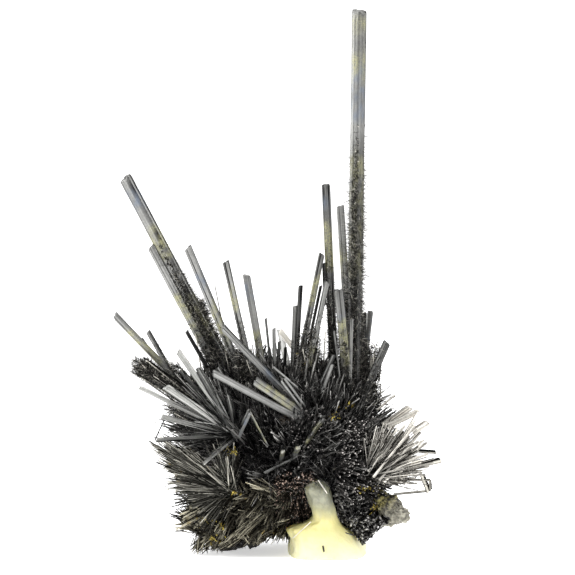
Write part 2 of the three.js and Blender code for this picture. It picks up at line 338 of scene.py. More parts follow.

# %% [markdown]
# ## The body of matted needles
# Under the needles lies a rough body, painted nearly black as the shade deep among the needles. It is a ball
# with lumps and pits, the same ones as in the solid: the distance from its middle is a function of direction,
# so one grid of directions gives the whole surface.

# %% Distance from the middle of the body to its surface
MASS_CENTRE = np.array([-12, 3, 33]) * MM
MASS_HALF = np.array([31, 27, 27]) * MM
# direction, height in mm and narrowness of each lump or pit
LUMPS = [
    ((-0.78, -0.3, -0.55), 9, 9), ((-0.6, 0.1, -0.8), 12, 14), ((-0.1, 0.6, -0.8), 10, 14),
    ((0.72, -0.35, -0.6), 8, 12), ((-0.75, -0.1, 0.6), 8, 10), ((0.6, 0.0, 0.8), 8, 14),
    ((-0.45, -0.1, 0.88), 6, 14), ((0.05, -0.8, 0.55), 6, 10), ((0.9, -0.2, 0.1), -4, 8),
    ((0.25, -0.8, -0.55), -9, 14),
]


def reach_of(out):
    """Distance to the surface in each direction: that of an ellipsoid, plus one smooth hump for each lump,
    its height times e to the power of its narrowness times (cosine of the angle to it, less one)."""
    reach = 1.0 / np.linalg.norm(out / MASS_HALF, axis=-1)
    for toward, height, narrow in LUMPS:
        facing = out @ unit(np.array(toward, float))
        reach = reach + height * MM * np.exp(narrow * (facing - 1.0))
    return reach


def wobble(points, size, seed, waves=9):
    """Uneven values between about -1 and 1: the mean of sine waves in random directions, about one wave to
    each size in metres."""
    chance = np.random.default_rng(seed)
    ways = any_ways(waves, chance) * (2 * math.pi / size)
    shifts = chance.uniform(0, 2 * math.pi, waves)
    return np.sin(points @ ways.T + shifts).sum(-1) / math.sqrt(waves)


# %% Surface of the body
ROWS = 110
COLUMNS = 170
CORE_INSET = 3.5 * MM
GROUND = 0.2 * MM
# height and size in mm of its roughness, and the seed of each
CORE_WAVES = [(1.4, 9, 1), (0.8, 3.4, 2), (0.4, 1.3, 3)]


def ball_grid(rings, corners):
    """Unit directions on rings of latitude, with a pole at each end, and the faces that join them."""
    latitude = np.linspace(0, math.pi, rings + 2)[1:-1, None]
    longitude = angles(corners)[None, :]
    out = np.stack([
        np.sin(latitude) * np.cos(longitude),
        np.sin(latitude) * np.sin(longitude),
        np.cos(latitude) * np.ones_like(longitude),
    ], -1).reshape(-1, 3)
    return np.concatenate([out, [[0.0, 0.0, 1.0], [0.0, 0.0, -1.0]]]), closed_faces(rings, corners)[:, ::-1]


def matted_core():
    """Directions from the middle, each pushed out to the body's surface less an inset, with three sizes of
    roughness. What would be below the ground lies on it."""
    out, faces = ball_grid(ROWS, COLUMNS)
    smooth = MASS_CENTRE + out * reach_of(out)[:, None]
    rough = sum(height * wobble(smooth, size * MM, seed) for height, size, seed in CORE_WAVES)
    points = MASS_CENTRE + out * (reach_of(out) - CORE_INSET + rough * MM)[:, None]
    points[:, 2] = np.maximum(points[:, 2], GROUND)
    return points, faces


# %% [markdown]
# ## Needles
# A needle is a thin prism with three or four sides. A whole tuft is worked out at once: every needle's
# ring of points is its root plus two axes across it, times cosine and sine. Each needle also carries a tone
# of its own, so that neighbours differ as real ones do; on top of it its sides carry painted glints and
# painted shade, and its end a painted highlight.

# %% Many needles as one mesh
def circles(roots, tips, widths, sides):
    """Points on a circle square to each needle: radius (cos turn first + sin turn second)."""
    first, second = across_axes(unit(tips - roots))
    turn = angles(sides)[None, :, None]
    return (np.cos(turn) * first[:, None] + np.sin(turn) * second[:, None]) * (widths / 2)[:, None, None]


def copies(points, one):
    """The points of all needles as one list, and the faces of one needle repeated for each."""
    starts = np.arange(len(points)) * points.shape[1]
    return points.reshape(-1, 3), (one + starts[:, None, None]).reshape(-1, 3)


def needle_rings(roots, tips, widths, sides, point):
    """Needles with flat sides. Each has a ring round its root and one round its tip, point times as wide."""
    circle = circles(roots, tips, widths, sides)
    rings = np.concatenate([roots[:, None] + circle, tips[:, None] + circle * point], 1)
    base = np.array([[0, i + 2, i + 1] for i in range(sides - 2)])
    head = np.array([[sides, sides + i + 1, sides + i + 2] for i in range(sides - 2)])
    return copies(rings, np.concatenate([ring_faces(2, sides), base, head]))


def spikes(roots, tips, widths):
    """Fine hairs: three points round each root and one at its tip."""
    points = np.concatenate([roots[:, None] + circles(roots, tips, widths, 3), tips[:, None]], 1)
    return copies(points, np.array([[0, 1, 3], [1, 2, 3], [2, 0, 3], [0, 2, 1]]))


facet_chance = np.random.default_rng(3)
# painted glints and painted shade: how much lighter or darker than its needle a flat side is, and the same
# for the sides of a hair
FLAT_GLINT_RANGE = (0.15, 1.7)
HAIR_GLINT_RANGE = (0.3, 1.5)
# the lowest that a needle's tip reaches at each x, both in mm: left of the putty the body is off the ground
UNDERSIDE = np.array([(-41, 0.1), (-36, 1.0), (-30, 2.8), (-24, 3.8), (-14, 4.2), (-11, 0.1)])


def covers(spec, roots, tips):
    """Whether each needle hides that prism from the front: one of five places on it is nearer to the viewer
    than the prism's middle line and within 0.6 widths of it in x and z. The prism's foot doesn't count."""
    head = spec["head"]
    foot = spec["foot"]
    way = (head - foot)[::2]
    hides = np.zeros(len(roots), bool)
    for share in np.linspace(0, 1, 5):
        place = roots + (tips - roots) * share
        along = np.clip((place - foot)[:, ::2] @ way / (way @ way), 0.15, 1)[:, None]
        near = foot + along * (head - foot)
        gap = np.linalg.norm((place - near)[:, ::2], axis=1)
        hides |= (gap < 0.6 * spec["width"] * MM) & (place[:, 1] < near[:, 1])
    return hides


class Needles:
    """Needles are gathered here and become one mesh. The prisms in clear stay free of them."""

    def __init__(self, clear=()):
        self.clear = clear
        self.points = []
        self.faces = []
        self.shades = []

    def add(self, roots, tips, widths, tones, sides=4, point=0.5, head=1.3):
        """Needles with flat sides, or fine hairs where sides is 0. Each flat side is lighter or darker than
        the needle's tone by a random factor, as painted glints and painted shade, and the end face is lighter
        by the factor head, as a painted highlight. Needles that would end under the body's underside are left
        out."""
        lowest = np.interp(tips[:, 0] / MM, UNDERSIDE[:, 0], UNDERSIDE[:, 1]) * MM
        kept = tips[:, 2] > lowest
        for spec in self.clear:
            kept &= ~covers(spec, roots, tips)
        roots, tips, widths, tones = roots[kept], tips[kept], widths[kept], tones[kept, None]
        if sides:
            points, faces = needle_rings(roots, tips, widths, sides, point)
            # the random factor of each flat side paints a glint where it is over 1 and shade where it is
            # under 1, and the factor head paints a highlight on the end face
            side = facet_chance.uniform(*FLAT_GLINT_RANGE, (len(roots), sides)) * tones
            heads = np.repeat(tones * head, sides - 2, 1)
            shade = np.concatenate([side, side, side[:, :sides - 2], heads], 1)
        else:
            points, faces = spikes(roots, tips, widths)
            # the sides of a hair get painted glints and painted shade the same way
            shade = facet_chance.uniform(*HAIR_GLINT_RANGE, (len(roots), 4)) * tones
        self.points.append(points)
        self.faces.append(faces)
        self.shades.append(np.clip(shade, 0, 1).ravel())

    def build(self, name, material, slot):
        """All the needles as one object. What would be below the ground is lifted to it."""
        points, faces = joined(self.points, self.faces)
        points[:, 2] = np.maximum(points[:, 2], 0.1 * MM)
        return add_mesh(name, points, faces, material, slot, {"tone": ("FACE", np.concatenate(self.shades))})


# %% Tufts
def cone_directions(aim, spread, count, chance):
    """Directions round one or more aims: the aim plus a random vector times 0.6 of the spread's tangent."""
    return unit(aim + chance.normal(size=(count, 3)) * math.tan(math.radians(spread)) * 0.6)


def tones_of(count, chance, low=0.0, high=1.0, power=2.0):
    """Tones between low and high; a greater power makes more of them dark."""
    return low + (high - low) * chance.uniform(0, 1, count) ** power


def painted_glint_tones(count, chance, share, dark):
    """Tones for fine needles: that share of them is painted bright as glints, and the rest are darker than
    the value dark.
    """
    bright = chance.uniform(0.7, 1.0, count)
    return np.where(chance.uniform(0, 1, count) < share, bright, dark * chance.uniform(0, 1, count) ** 2)


def patch_of(place, size, seed):
    """Factor between 0.05 and 1.9 that follows smooth waves, so that whole areas are darker than others."""
    return np.clip(0.75 + 0.85 * wobble(place, size, seed), 0.05, 1.9)


def tuft(needles, root, aim, length, width, count, chance, spread=12.0, wide=1.0 * MM, power=2.0, gain=1.0):
    """A tuft: needles start in a small ball round the root, leave in a cone round the aim and end at
    different heights. Gain makes the whole tuft lighter or darker."""
    starts = root + chance.normal(size=(count, 3)) * wide * 0.5
    ways = cone_directions(aim, spread, count, chance)
    ends = starts + ways * (length * chance.uniform(0.5, 1.0, count))[:, None]
    widths = width * chance.uniform(0.4, 1.4, count)
    needles.add(starts, ends, widths, np.minimum(tones_of(count, chance, power=power) * gain, 1), 4, 0.45)


# %% [markdown]
# ## Finishes of stibnite
# Fresh stibnite is a soft lead-grey metal, lined along its length, and it tarnishes blue or goes yellow where
# it has turned to ochre. The fine matted needles look almost black because light is lost between them.
# One recipe serves them all: a metal whose colour runs from dark to light by each needle's stored tone,
# which holds its own tone together with painted glints and painted shade.

# %% Metal recipe
# bumps to the metre of the fine grain, the clouds and the ochre spots, and depth of the grain
FINE_BUMPS = 2200.0
CLOUD_BUMPS = 240.0
SPOT_BUMPS = 170.0
FINE_DEPTH = 0.06 * MM


def stibnite_finish(name, dark, light, rough, metal, ochre=0.0, patches=False):
    """Base colour goes from dark to light by the stored tone and fine noise; ochre is the share of the
    surface that has gone yellow; patches mixes in the tarnish and dust that a prism stores."""
    finish = Finish(name)
    where = finish.place()
    tone = finish.stored("tone")
    fine = finish.noise(where, FINE_BUMPS, 3.0, 0.6)
    cloud = finish.noise(where, CLOUD_BUMPS, 3.0, 0.6)
    colour = finish.mix((tone * (fine * 0.9 + cloud * 0.7 + 0.2)).above(0.0, 1.0), dark, light)
    if patches:
        for kind, spread, most, tint in (
            ("blue", cloud.above(0.32, 0.25), 0.7, (0.12, 0.145, 0.19)),
            ("olive", fine.above(0.36, 0.2), 0.75, (0.32, 0.31, 0.17)),
            ("dust", fine.above(0.46, 0.1), 0.9, (0.012, 0.012, 0.012)),
        ):
            colour = finish.mix(finish.stored(kind) * spread * most, colour, tint)
    if ochre > 0:
        spots = finish.noise(where, SPOT_BUMPS, 4.0, 0.65)
        colour = finish.mix(spots.above(0.5 + 0.25 * (1 - ochre), 0.06) * 0.8, colour, (0.42, 0.31, 0.10))
    roughness = (fine - 0.5) * 0.25 + rough
    return finish.shade(
        {"Base Color": colour, "Metallic": metal, "Roughness": roughness, "Specular IOR Level": 0.2,
         "Specular Tint": (0.2, 0.2, 0.2, 1.0)},
        fine, FINE_DEPTH,
    )


prism_finish = stibnite_finish(
    "steel_grey_prism", (0.012, 0.012, 0.012), (0.27, 0.27, 0.26), 0.42, 0.75, patches=True
)
dark_finish = stibnite_finish("matted_needles", (0.002, 0.002, 0.002), (0.44, 0.43, 0.41), 0.34, 0.8, 0.08)
star_finish = stibnite_finish("light_blades", (0.006, 0.006, 0.006), (0.40, 0.40, 0.38), 0.38, 0.8, 0.12)
fan_finish = stibnite_finish("olive_ribs", (0.003, 0.003, 0.002), (0.58, 0.56, 0.49), 0.42, 0.7, 0.3)
pale_finish = stibnite_finish("pale_needles", (0.006, 0.005, 0.004), (0.69, 0.66, 0.60), 0.4, 0.5, 0.12)
hair_finish = stibnite_finish("black_hairs", (0.002, 0.002, 0.002), (0.72, 0.69, 0.61), 0.40, 0.6)


# %% Body finish
def core_finish():
    """Nearly black as painted shade deep among the needles, rough and granular, with a few brown and ochre
    grains.
    """
    finish = Finish("matted_body")
    where = finish.place()
    grain = finish.noise(where, 1500.0, 4.0, 0.7)
    cloud = finish.noise(where, 160.0, 3.0)
    # the near-black base colour is painted shade for the depth among the needles
    colour = finish.mix(grain, (0.002, 0.002, 0.002), (0.02, 0.019, 0.018))
    colour = finish.mix(cloud.above(0.66, 0.05) * grain.above(0.45, 0.1), colour, (0.07, 0.05, 0.025))
    return finish.shade({"Base Color": colour, "Metallic": 0.2, "Roughness": 0.65}, grain, 0.0006)


core_points, core_faces = matted_core()
core = add_mesh("matted_core", core_points, core_faces, core_finish(), "matted_stibnite")
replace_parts(core, "needle_mass")

# %% [markdown]
# ## Free prisms
# Each prism is one section carried along a straight path. The section is close to a rectangle whose faces
# are cut into shallow steps, because stibnite grows as many thin blades side by side; carried along the path
# the steps become the long light and dark lines. The head is a slanting cut with a few uneven steps.

# %% The prisms, measured on the photograph
# depth of a prism as a part of its width, where none is given
DEPTH = 0.85
# turn of a free prism about its length, in degrees
TURN = -14


def crystal(tip, lean, toward, length, size, slant, tone, *tarnish):
    """One prism from its row. Size is its width, or its width and depth."""
    width, depth = size if isinstance(size, tuple) else (size, size * DEPTH)
    axes = axes_of(lean, toward)
    head = np.array(tip) * MM
    return dict(
        axes=axes, head=head, foot=head - axes[2] * length * MM, length=length, width=width, depth=depth,
        slant=slant, tone=tone, turn=TURN, tarnish=tarnish,
    )


def small(tip, foot, width, tone, turn=20, tarnish=(), slant=0.4):
    """One small blade between two places in mm."""
    way = np.subtract(tip, foot)
    length = np.linalg.norm(way)
    along = way / length
    across = unit(np.array([along[2], 0.0, -along[0]]))
    return dict(
        axes=(across, np.cross(along, across), along), foot=np.array(foot) * MM, length=length, width=width,
        depth=width * DEPTH, slant=slant, tone=tone, turn=turn, tarnish=tarnish,
    )


# node; tip in mm; lean and toward in degrees; length and width in mm, with the depth where it differs; slope
# of the head; tone; and each tarnish as (kind, from, to) in mm from the tip
CRYSTALS = [
    ("tall_crystal", (10.9, 0, 180.7), 0.8, 0, 134, 4.6, -0.1, 0.55, ("olive", 3, 7), ("olive", 14, 23),
     ("blue", 18, 36), ("olive", 48, 90)),
    ("long_left_crystals", (-66.6, -10, 125.4), -27.6, 7, 80, 4, 0.25, 0.62, ("blue", 5, 11),
     ("olive", 19, 30), ("olive", 44, 60)),
    ("long_left_crystals", (-58.1, -7.2, 102.6), -27.6, 7, 54, 2.8, 0.4, 0.62, ("olive", 18, 36)),
    ("left_crystal", (-45.8, -14, 102.4), -22.4, 9, 54, 2.5, 0.35, 0.5, ("olive", 20, 34), ("blue", 8, 14)),
    ("middle_left_crystal", (-33.2, -18, 98), -12.3, 8, 50, 2.1, 0.3, 0.5, ("olive", 9, 17)),
    ("middle_crystal", (-26.7, -3, 93.1), -10, -3, 45, 2.3, -0.2, 0.8, ("olive", 19, 28), ("blue", 3, 9)),
    ("slanting_crystal", (-34.2, -20, 76.5), -43.8, 2, 44, 2.1, 0.3, 0.62, ("blue", 19, 25)),
    ("thin_middle_pair", (-8.6, 4, 89.1), 3.3, -6, 40, 1.5, 0.3, 0.35),
    ("thin_middle_pair", (-10.4, 3.2, 82.3), 2.3, -6, 33, 1.5, 0.3, 0.4),
    ("leaning_right_crystal", (-1.6, -6, 100.1), 11.4, 2, 50, 1.9, -0.5, 0.34, ("olive", 6, 17)),
    ("pale_leaning_crystal", (0, -15, 91.1), 11.9, 7, 42, 1.7, -0.3, 0.52, ("olive", 22, 30)),
    ("second_tall_crystal", (-0.1, 8, 122.9), -2.4, -4, 76, 2.7, 0.1, 0.45, ("blue", 4, 9),
     ("olive", 10, 28)),
    ("third_tall_crystal", (4.8, 17, 115.4), -3.7, -8, 68, 2.5, 0.2, 0.6, ("olive", 14, 24)),
    ("front_blade", (3.9, -10, 88.5), -5.7, 5, 38, (3, 1.7), 0.1, 0.36, ("blue", 8, 11), ("olive", 10, 26)),
    ("short_right_pair", (15.1, 15, 80), 6.5, -8, 30, 1.8, -0.2, 0.45, ("blue", 2, 10)),
    ("short_right_pair", (13, 15, 79.3), 3.5, -8, 29, 1.6, 0.3, 0.3),
    ("right_leaning_crystal", (20.1, -4, 70.6), 23.7, 0, 27, 2.5, -0.3, 0.36),
    ("far_left_crystal", (-70.3, -6, 79.7), -43.3, 4, 44, (2, 2.4), 0.6, 0.6, ("olive", 6, 22)),
    ("far_left_short_crystal", (-59.8, 5, 73.6), -29.8, -3, 32, 1.6, 0.3, 0.35),
    ("front_slanting_crystals", (-37.3, -29, 62.3), -60.9, 12, 34, 2.3, 0.4, 0.85),
    ("front_slanting_crystals", (-24, -26.1, 58.9), -54.5, 12, 21, 1.7, 0.3, 0.7, ("olive", 2, 16)),
    ("front_slanting_crystals", (-23.2, -25.7, 59.9), -54.5, 12, 20, 1.6, 0.3, 0.7, ("olive", 2, 16)),
    ("back_left_crystal", (-42, 34, 76), -32, -32, 44, 2.6, 0.3, 0.5, ("olive", 12, 22)),
    ("back_middle_crystal", (-15.6, 34, 72.1), -12, -32, 32, 2, -0.3, 0.95),
    ("back_right_crystal", (16, 40, 60), 26, -44, 38, 2.3, 0.3, 0.5, ("olive", 8, 20)),
]
PRISMS = {}
for node, *row in CRYSTALS:
    PRISMS.setdefault(node, []).append(crystal(*row))


# %% One prism
# parts of its width: a step, a groove, the bevel round the head and the unevenness of the head's cut
STEP = 0.07
GROOVE = 0.08
BEVEL = 0.25
HEAD_STEP = 0.22
# contrast between the lines of a prism, and the painted shade that darkens its two narrow sides
LINE_CONTRAST = 1.1
SIDE_PAINTED_SHADE = 0.45
# the coat of black needles reaches its full strength this far below its start, in mm
FULL_COAT = 34
NO_COAT = 999


def blocks(corners, chance, longest):
    """A random value for each corner, held over one to longest corners."""
    return np.repeat(chance.uniform(0, 1, corners), chance.integers(1, longest + 1, corners))[:corners]


def prism_grid(spec, chance, corners, stations):
    """Points of one prism, with the height of each along it. The section is a superellipse of power five,
    turned a little, less shallow steps and grooves. It is carried from foot to head; each line of it drifts
    slowly in and out on the way and ends at its own height under the slanting cut."""
    across, through, along = spec["axes"]
    foot = spec["foot"]
    length = spec["length"] * MM
    width = spec["width"] * MM
    depth = spec["depth"] * MM
    turn = angles(corners)
    square = (np.abs(np.cos(turn)) ** 5 + np.abs(np.sin(turn)) ** 5) ** (-1 / 5)
    groove = (chance.uniform(0, 1, corners) > 0.8) * chance.uniform(0.4, 1.0, corners)
    outline = square * (1.02 - STEP * blocks(corners, chance, 4) - GROOVE * groove)
    skew = math.radians(spec["turn"])
    bevel = BEVEL * width
    t = np.concatenate([np.linspace(0, 1, stations), [1.0, 1.0]])[:, None]
    shrink = np.concatenate([np.full(stations, 1.0), [0.93, 0.5]])[:, None]
    rise = np.concatenate([np.zeros(stations), [0.5, 0.7]])[:, None] * bevel
    drift = 1 + 0.02 * np.sin(9 * t + 6 * blocks(corners, chance, 5))
    drift = drift + 0.006 * chance.normal(size=(len(t), corners))
    u = width / 2 * np.cos(turn) * outline * shrink * drift
    v = depth / 2 * np.sin(turn) * outline * shrink * drift
    x = u * math.cos(skew) - v * math.sin(skew)
    y = u * math.sin(skew) + v * math.cos(skew)
    heads = HEAD_STEP * width * (blocks(corners, chance, 7) - 0.5)
    z = t * (length - bevel) + rise + t ** 12 * (spec["slant"] * x + heads)
    points = foot + x[..., None] * across + y[..., None] * through + z[..., None] * along
    ends = np.stack([foot, foot + along * (length - bevel * 0.25)])
    return np.concatenate([points.reshape(-1, 3), ends]), np.concatenate([z.ravel(), [0, length]]), length


def tarnish_mask(kind, spec, down, points, seed):
    """How strongly that tarnish shows: 1 inside its stretches, fading over 2 mm, broken up by waves."""
    mask = np.zeros(len(down))
    for name, start, stop in spec["tarnish"]:
        if name == kind:
            inside = np.minimum(down - start * MM, stop * MM - down) / (2 * MM)
            mask = np.maximum(mask, np.clip(inside + 0.5, 0, 1))
    return mask * np.clip(0.55 + 0.7 * wobble(points, 3 * MM, seed), 0, 1)


def prism_piece(name, members, seed, material, slot):
    """Prisms as one object. Each line of a prism has its own tone, its two narrow sides are darker as painted
    shade, and the tone drifts along it by two smooth waves."""
    chance = np.random.default_rng(seed)
    all_points = []
    all_faces = []
    values = {"tone": [], "dust": [], "blue": [], "olive": []}
    for spec in members:
        corners = 44 if spec["width"] > 2 else 28 if spec["width"] > 1 else 14
        stations = 8 + int(spec["width"] * 8)
        points, z, length = prism_grid(spec, chance, corners, stations)
        rings = stations + 2
        down = length - z
        # the two narrow sides, left and right, are darkened as painted shade
        line = LINE_CONTRAST * (blocks(corners, chance, 3) - 0.5) - SIDE_PAINTED_SHADE * np.cos(angles(corners)) ** 8
        line = np.concatenate([np.tile(line, rings), [0, 0]])
        line = line * (0.8 + 0.3 * wobble(points, 9 * MM, seed + 3))
        line = line + 0.08 * wobble(points, 16 * MM, seed + 4)
        dust = np.clip((down / MM - spec.get("coat", NO_COAT)) / FULL_COAT, 0, 1)
        values["tone"].append(np.clip(spec["tone"] + line - 0.15 * dust, 0, 1))
        values["dust"].append(dust)
        values["blue"].append(tarnish_mask("blue", spec, down, points, seed))
        values["olive"].append(tarnish_mask("olive", spec, down, points, seed + 1))
        all_points.append(points)
        all_faces.append(closed_faces(rings, corners))
    stored = {key: ("POINT", np.concatenate(parts)) for key, parts in values.items()}
    return add_mesh(name, *joined(all_points, all_faces), material, slot, stored)


# node, member, start of the black coat in mm from the tip, hairs for each mm of it
COATS = [
    ("tall_crystal", 0, 38, 135), ("long_left_crystals", 0, 22, 170), ("long_left_crystals", 1, 27, 70),
    ("left_crystal", 0, 24, 80), ("middle_left_crystal", 0, 17, 80), ("middle_crystal", 0, 20, 80),
    ("slanting_crystal", 0, 20, 25), ("thin_middle_pair", 0, 16, 50), ("thin_middle_pair", 1, 10, 50),
    ("leaning_right_crystal", 0, 14, 80), ("pale_leaning_crystal", 0, 11, 80),
    ("second_tall_crystal", 0, 25, 90), ("third_tall_crystal", 0, 26, 90), ("front_blade", 0, 10, 55),
    ("short_right_pair", 0, 7, 60), ("short_right_pair", 1, 7, 60), ("right_leaning_crystal", 0, 5, 120),
    ("far_left_crystal", 0, 16, 50), ("far_left_short_crystal", 0, 5, 60), ("back_left_crystal", 0, 16, 60),
    ("back_right_crystal", 0, 14, 60), ("back_middle_crystal", 0, 14, 60),
]
for node, member, start, density in COATS:
    PRISMS[node][member]["coat"] = start
for number, (node, members) in enumerate(PRISMS.items()):
    prism_slot = "ochre_stibnite" if node == "front_blade" else "stibnite"
    piece = prism_piece(node + "_prisms", members, 100 + number, prism_finish, prism_slot)
    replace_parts(piece, node)

# %% [markdown]
# ## Sprays
# In a spray all the needles leave one point. The big blades are set one by one, as the photograph shows
# them, and striated like the free prisms; between them stand many thinner, darker needles, which are spread
# by chance over the same range of directions.

# %% Repeatable numbers of the solids
def lcg(seed):
    """Numbers between 0 and 1 from the rule next = last times 1664525 plus 1013904223, modulo 2 to the 32."""
    state = seed
    while True:
        state = (state * 1664525 + 1013904223) % 4294967296
        yield state / 4294967296


FRONT_STAR = np.array([-29.5, -19.5, 41]) * MM
LOWER_FAN = np.array([-31.5, -21, 23]) * MM
PALE_SPRAY = np.array([13, -16.5, 27]) * MM
BACK_STAR = np.array([-24, 25, 38]) * MM
LEFT_BUNDLE = np.array([-41, -9, 48.5]) * MM

# each blade is lean, toward, length in mm, width in mm
front_star = [
    (-34, 14, 35, 2.0), (-30, 6, 26, 1.5), (-54, 18, 30, 2.4), (-63, 8, 36, 1.4), (-75, 12, 26, 1.7),
    (-92, 14, 27, 1.4), (-128, 30, 16, 1.2), (-12, 22, 15, 0.8), (25, 26, 11, 1.3), (-44, 4, 24, 0.8),
    (-104, -10, 19, 0.8),
]
back_star = [(-150 + 34 * i, -28 - 9 * (i % 3), 17 + 2.5 * (i % 4), 1.5 + 0.3 * (i % 3)) for i in range(9)]


def fan_ribs():
    """The fourteen ribs of the lower fan, one every twelve degrees."""
    draw = lcg(5)
    ribs = []
    for i in range(14):
        toward = 2 + 14 * next(draw)
        length = 16 + 7 * next(draw) + (5 if 5 < i < 9 else 0) - (6 if i > 8 else 0)
        short = 0.75 if i < 3 else 1.0
        ribs.append((-148 + 12 * i, toward, length * short, 1.9 + 0.8 * next(draw)))
    return ribs


def pale_blades():
    """The fourteen blades of the pale spray, one every six degrees."""
    draw = lcg(8)
    blades = []
    for i in range(14):
        toward = -4 + 26 * next(draw)
        length = 19 + 5 * next(draw) - (2 if i < 3 else 0)
        short = 0.72 if i > 10 else 1.0
        blades.append((22 + 6 * i, toward, length * short, 1.3 + 0.8 * next(draw)))
    return blades


def spray_piece(node, centre, blades, material, slot, seed, tones, split=1, thin=0.8, dark_below=-180):
    """The blades of a spray as striated prisms from one point. With split above one, each blade is that many
    side by side, three degrees apart, each thinner by split to the power thin. Blades that lean further left
    than dark_below degrees are a third as light."""
    chance = np.random.default_rng(seed)
    members = []
    for lean, toward, length, width in blades:
        for part in range(split):
            along = axes_of(lean + 3 * (part - (split - 1) / 2), toward)[2]
            reach = length * (1 if part == 0 else chance.uniform(0.7, 1.0))
            tip = centre + along * reach * MM
            slant = chance.uniform(-0.5, 0.5)
            turn = chance.uniform(0, 90)
            tone = chance.uniform(*tones) * (0.3 if lean < dark_below else 1.0)
            foot = centre - along * MM
            members.append(small(tip / MM, foot / MM, width / split ** thin, tone, turn, slant=slant))
    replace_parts(prism_piece(node + "_blades", members, seed, material, slot), node)


def fine_needles(needles, centre, blades, each, chance, spread, width, share, dark, shortest=0.3):
    """A number of fine needles for each blade: they start near the centre, leave within some degrees of the
    blade and reach at least the part shortest of its length. A share of them is painted bright as glints and
    the rest are dark."""
    rows = np.repeat(np.array(blades, float), each, 0)
    ways = np.stack([axes_of(lean, toward)[2] for lean, toward in rows[:, :2]])
    ways = cone_directions(ways, spread, len(rows), chance)
    starts = centre + chance.normal(size=(len(rows), 3)) * 1.1 * MM
    reach = rows[:, 2] * MM * chance.uniform(shortest, 0.98, len(rows))
    widths = width * MM * chance.uniform(0.4, 1.7, len(rows))
    needles.add(starts, starts + ways * reach[:, None], widths, painted_glint_tones(len(rows), chance, share, dark))


ribs = fan_ribs()
blades = pale_blades()
spray_piece("front_left_spray", FRONT_STAR, front_star, star_finish, "stibnite", 31, (0.35, 0.95))
spray_piece("lower_left_fan", LOWER_FAN, ribs, fan_finish, "ochre_stibnite", 32, (-0.5, 1.0), 4, 1.15, -95)
spray_piece("right_spray", PALE_SPRAY, blades, pale_finish, "pale_stibnite", 33, (0.0, 1.0), 3)
spray_piece("back_spray", BACK_STAR, back_star, star_finish, "stibnite", 34, (0.3, 0.8))

# %% Fine needles of the sprays, and the short ones that lie across the pale spray
CROSSING_COUNT = 700
chance = np.random.default_rng(40)
star_needles = Needles()
fine_needles(star_needles, FRONT_STAR, front_star, 24, chance, 15, 0.3, 0.16, 0.25)
fine_needles(star_needles, BACK_STAR, back_star, 30, chance, 16, 0.35, 0.35, 0.8)
star_needles.build("star_needles", star_finish, "stibnite")

fan_needles = Needles()
fine_needles(fan_needles, LOWER_FAN, ribs[5:], 50, chance, 13, 0.3, 0.22, 0.3)
fine_needles(fan_needles, LOWER_FAN, ribs[:5], 40, chance, 13, 0.34, 0.03, 0.2)
fine_needles(fan_needles, LOWER_FAN, ribs[5:9], 110, chance, 7, 0.3, 0.25, 0.25, 0.7)
# the ribs that point up to the left carry the longest needles
long_ribs = [(-60, 8, 31, 1), (-55, 4, 31, 1)]
fine_needles(fan_needles, LOWER_FAN, long_ribs, 110, chance, 4, 0.36, 0.3, 0.3, 0.6)
fan_needles.build("fan_needles", fan_finish, "ochre_stibnite")

pale_needles = Needles()
fine_needles(pale_needles, PALE_SPRAY, blades[:11], 44, chance, 20, 0.36, 0.4, 0.4)
count = CROSSING_COUNT
outward = np.stack([axes_of(lean, 12)[2] for lean in chance.uniform(20, 92, count)])
middle = PALE_SPRAY + outward * lengths_of(5, 17, count, chance) + chance.normal(size=(count, 3)) * 1.2 * MM
half = cone_directions(outward, 55, count, chance) * lengths_of(0.75, 2.5, count, chance)
widths = chance.uniform(0.15, 0.4, count) * MM
pale_needles.add(middle - half, middle + half, widths, painted_glint_tones(count, chance, 0.6, 0.5))
pale_needles.build("pale_fine_needles", pale_finish, "pale_stibnite")

# %% [markdown]
# ## Small blades
# Between the big prisms the photograph shows some thirty small ones, too thin to be solids. Each is given by
# its tip and foot. Two rods in front and the ones in the pale spray are bent or crossed like a fence.

# %% Small blades, measured on the photograph
# tip and foot in mm, width in mm, tone; some have a turn in degrees and tarnish
UPRIGHT_BLADES = [
    ((-20.3, 0, 78.3), (-18.2, 0, 58.2), 0.8, 0.35), ((-17.5, -2, 75.1), (-17.2, -2, 55.1), 1.1, 0.85),
    ((-15.8, 2, 70.5), (-15.8, 2, 57.4), 1.0, 0.35), ((-13.7, 0, 68.6), (-14.2, 0, 56.9), 1.0, 0.12),
    ((-12.5, -4, 62.6), (-12.5, -4, 57.2), 1.0, 0.3), ((-0.9, 5, 96.5), (-0.4, 5, 82.4), 1.0, 0.3),
    ((-1.8, 5, 89.0), (-6.2, 5, 67.6), 1.0, 0.15), ((8.2, -8, 78.5), (7.7, -8, 58.2), 1.2, 0.7),
    ((2.4, -8, 74.5), (4.4, -8, 58.2), 0.8, 0.3), ((13.7, 14, 78.8), (13.6, 14, 68.3), 1.0, 0.35),
    ((2.3, -14, 67.0), (-2.3, -14, 56.7), 1.3, 0.35), ((1.6, -18, 64.3), (-1.7, -18, 55.1), 1.3, 0.3),
]
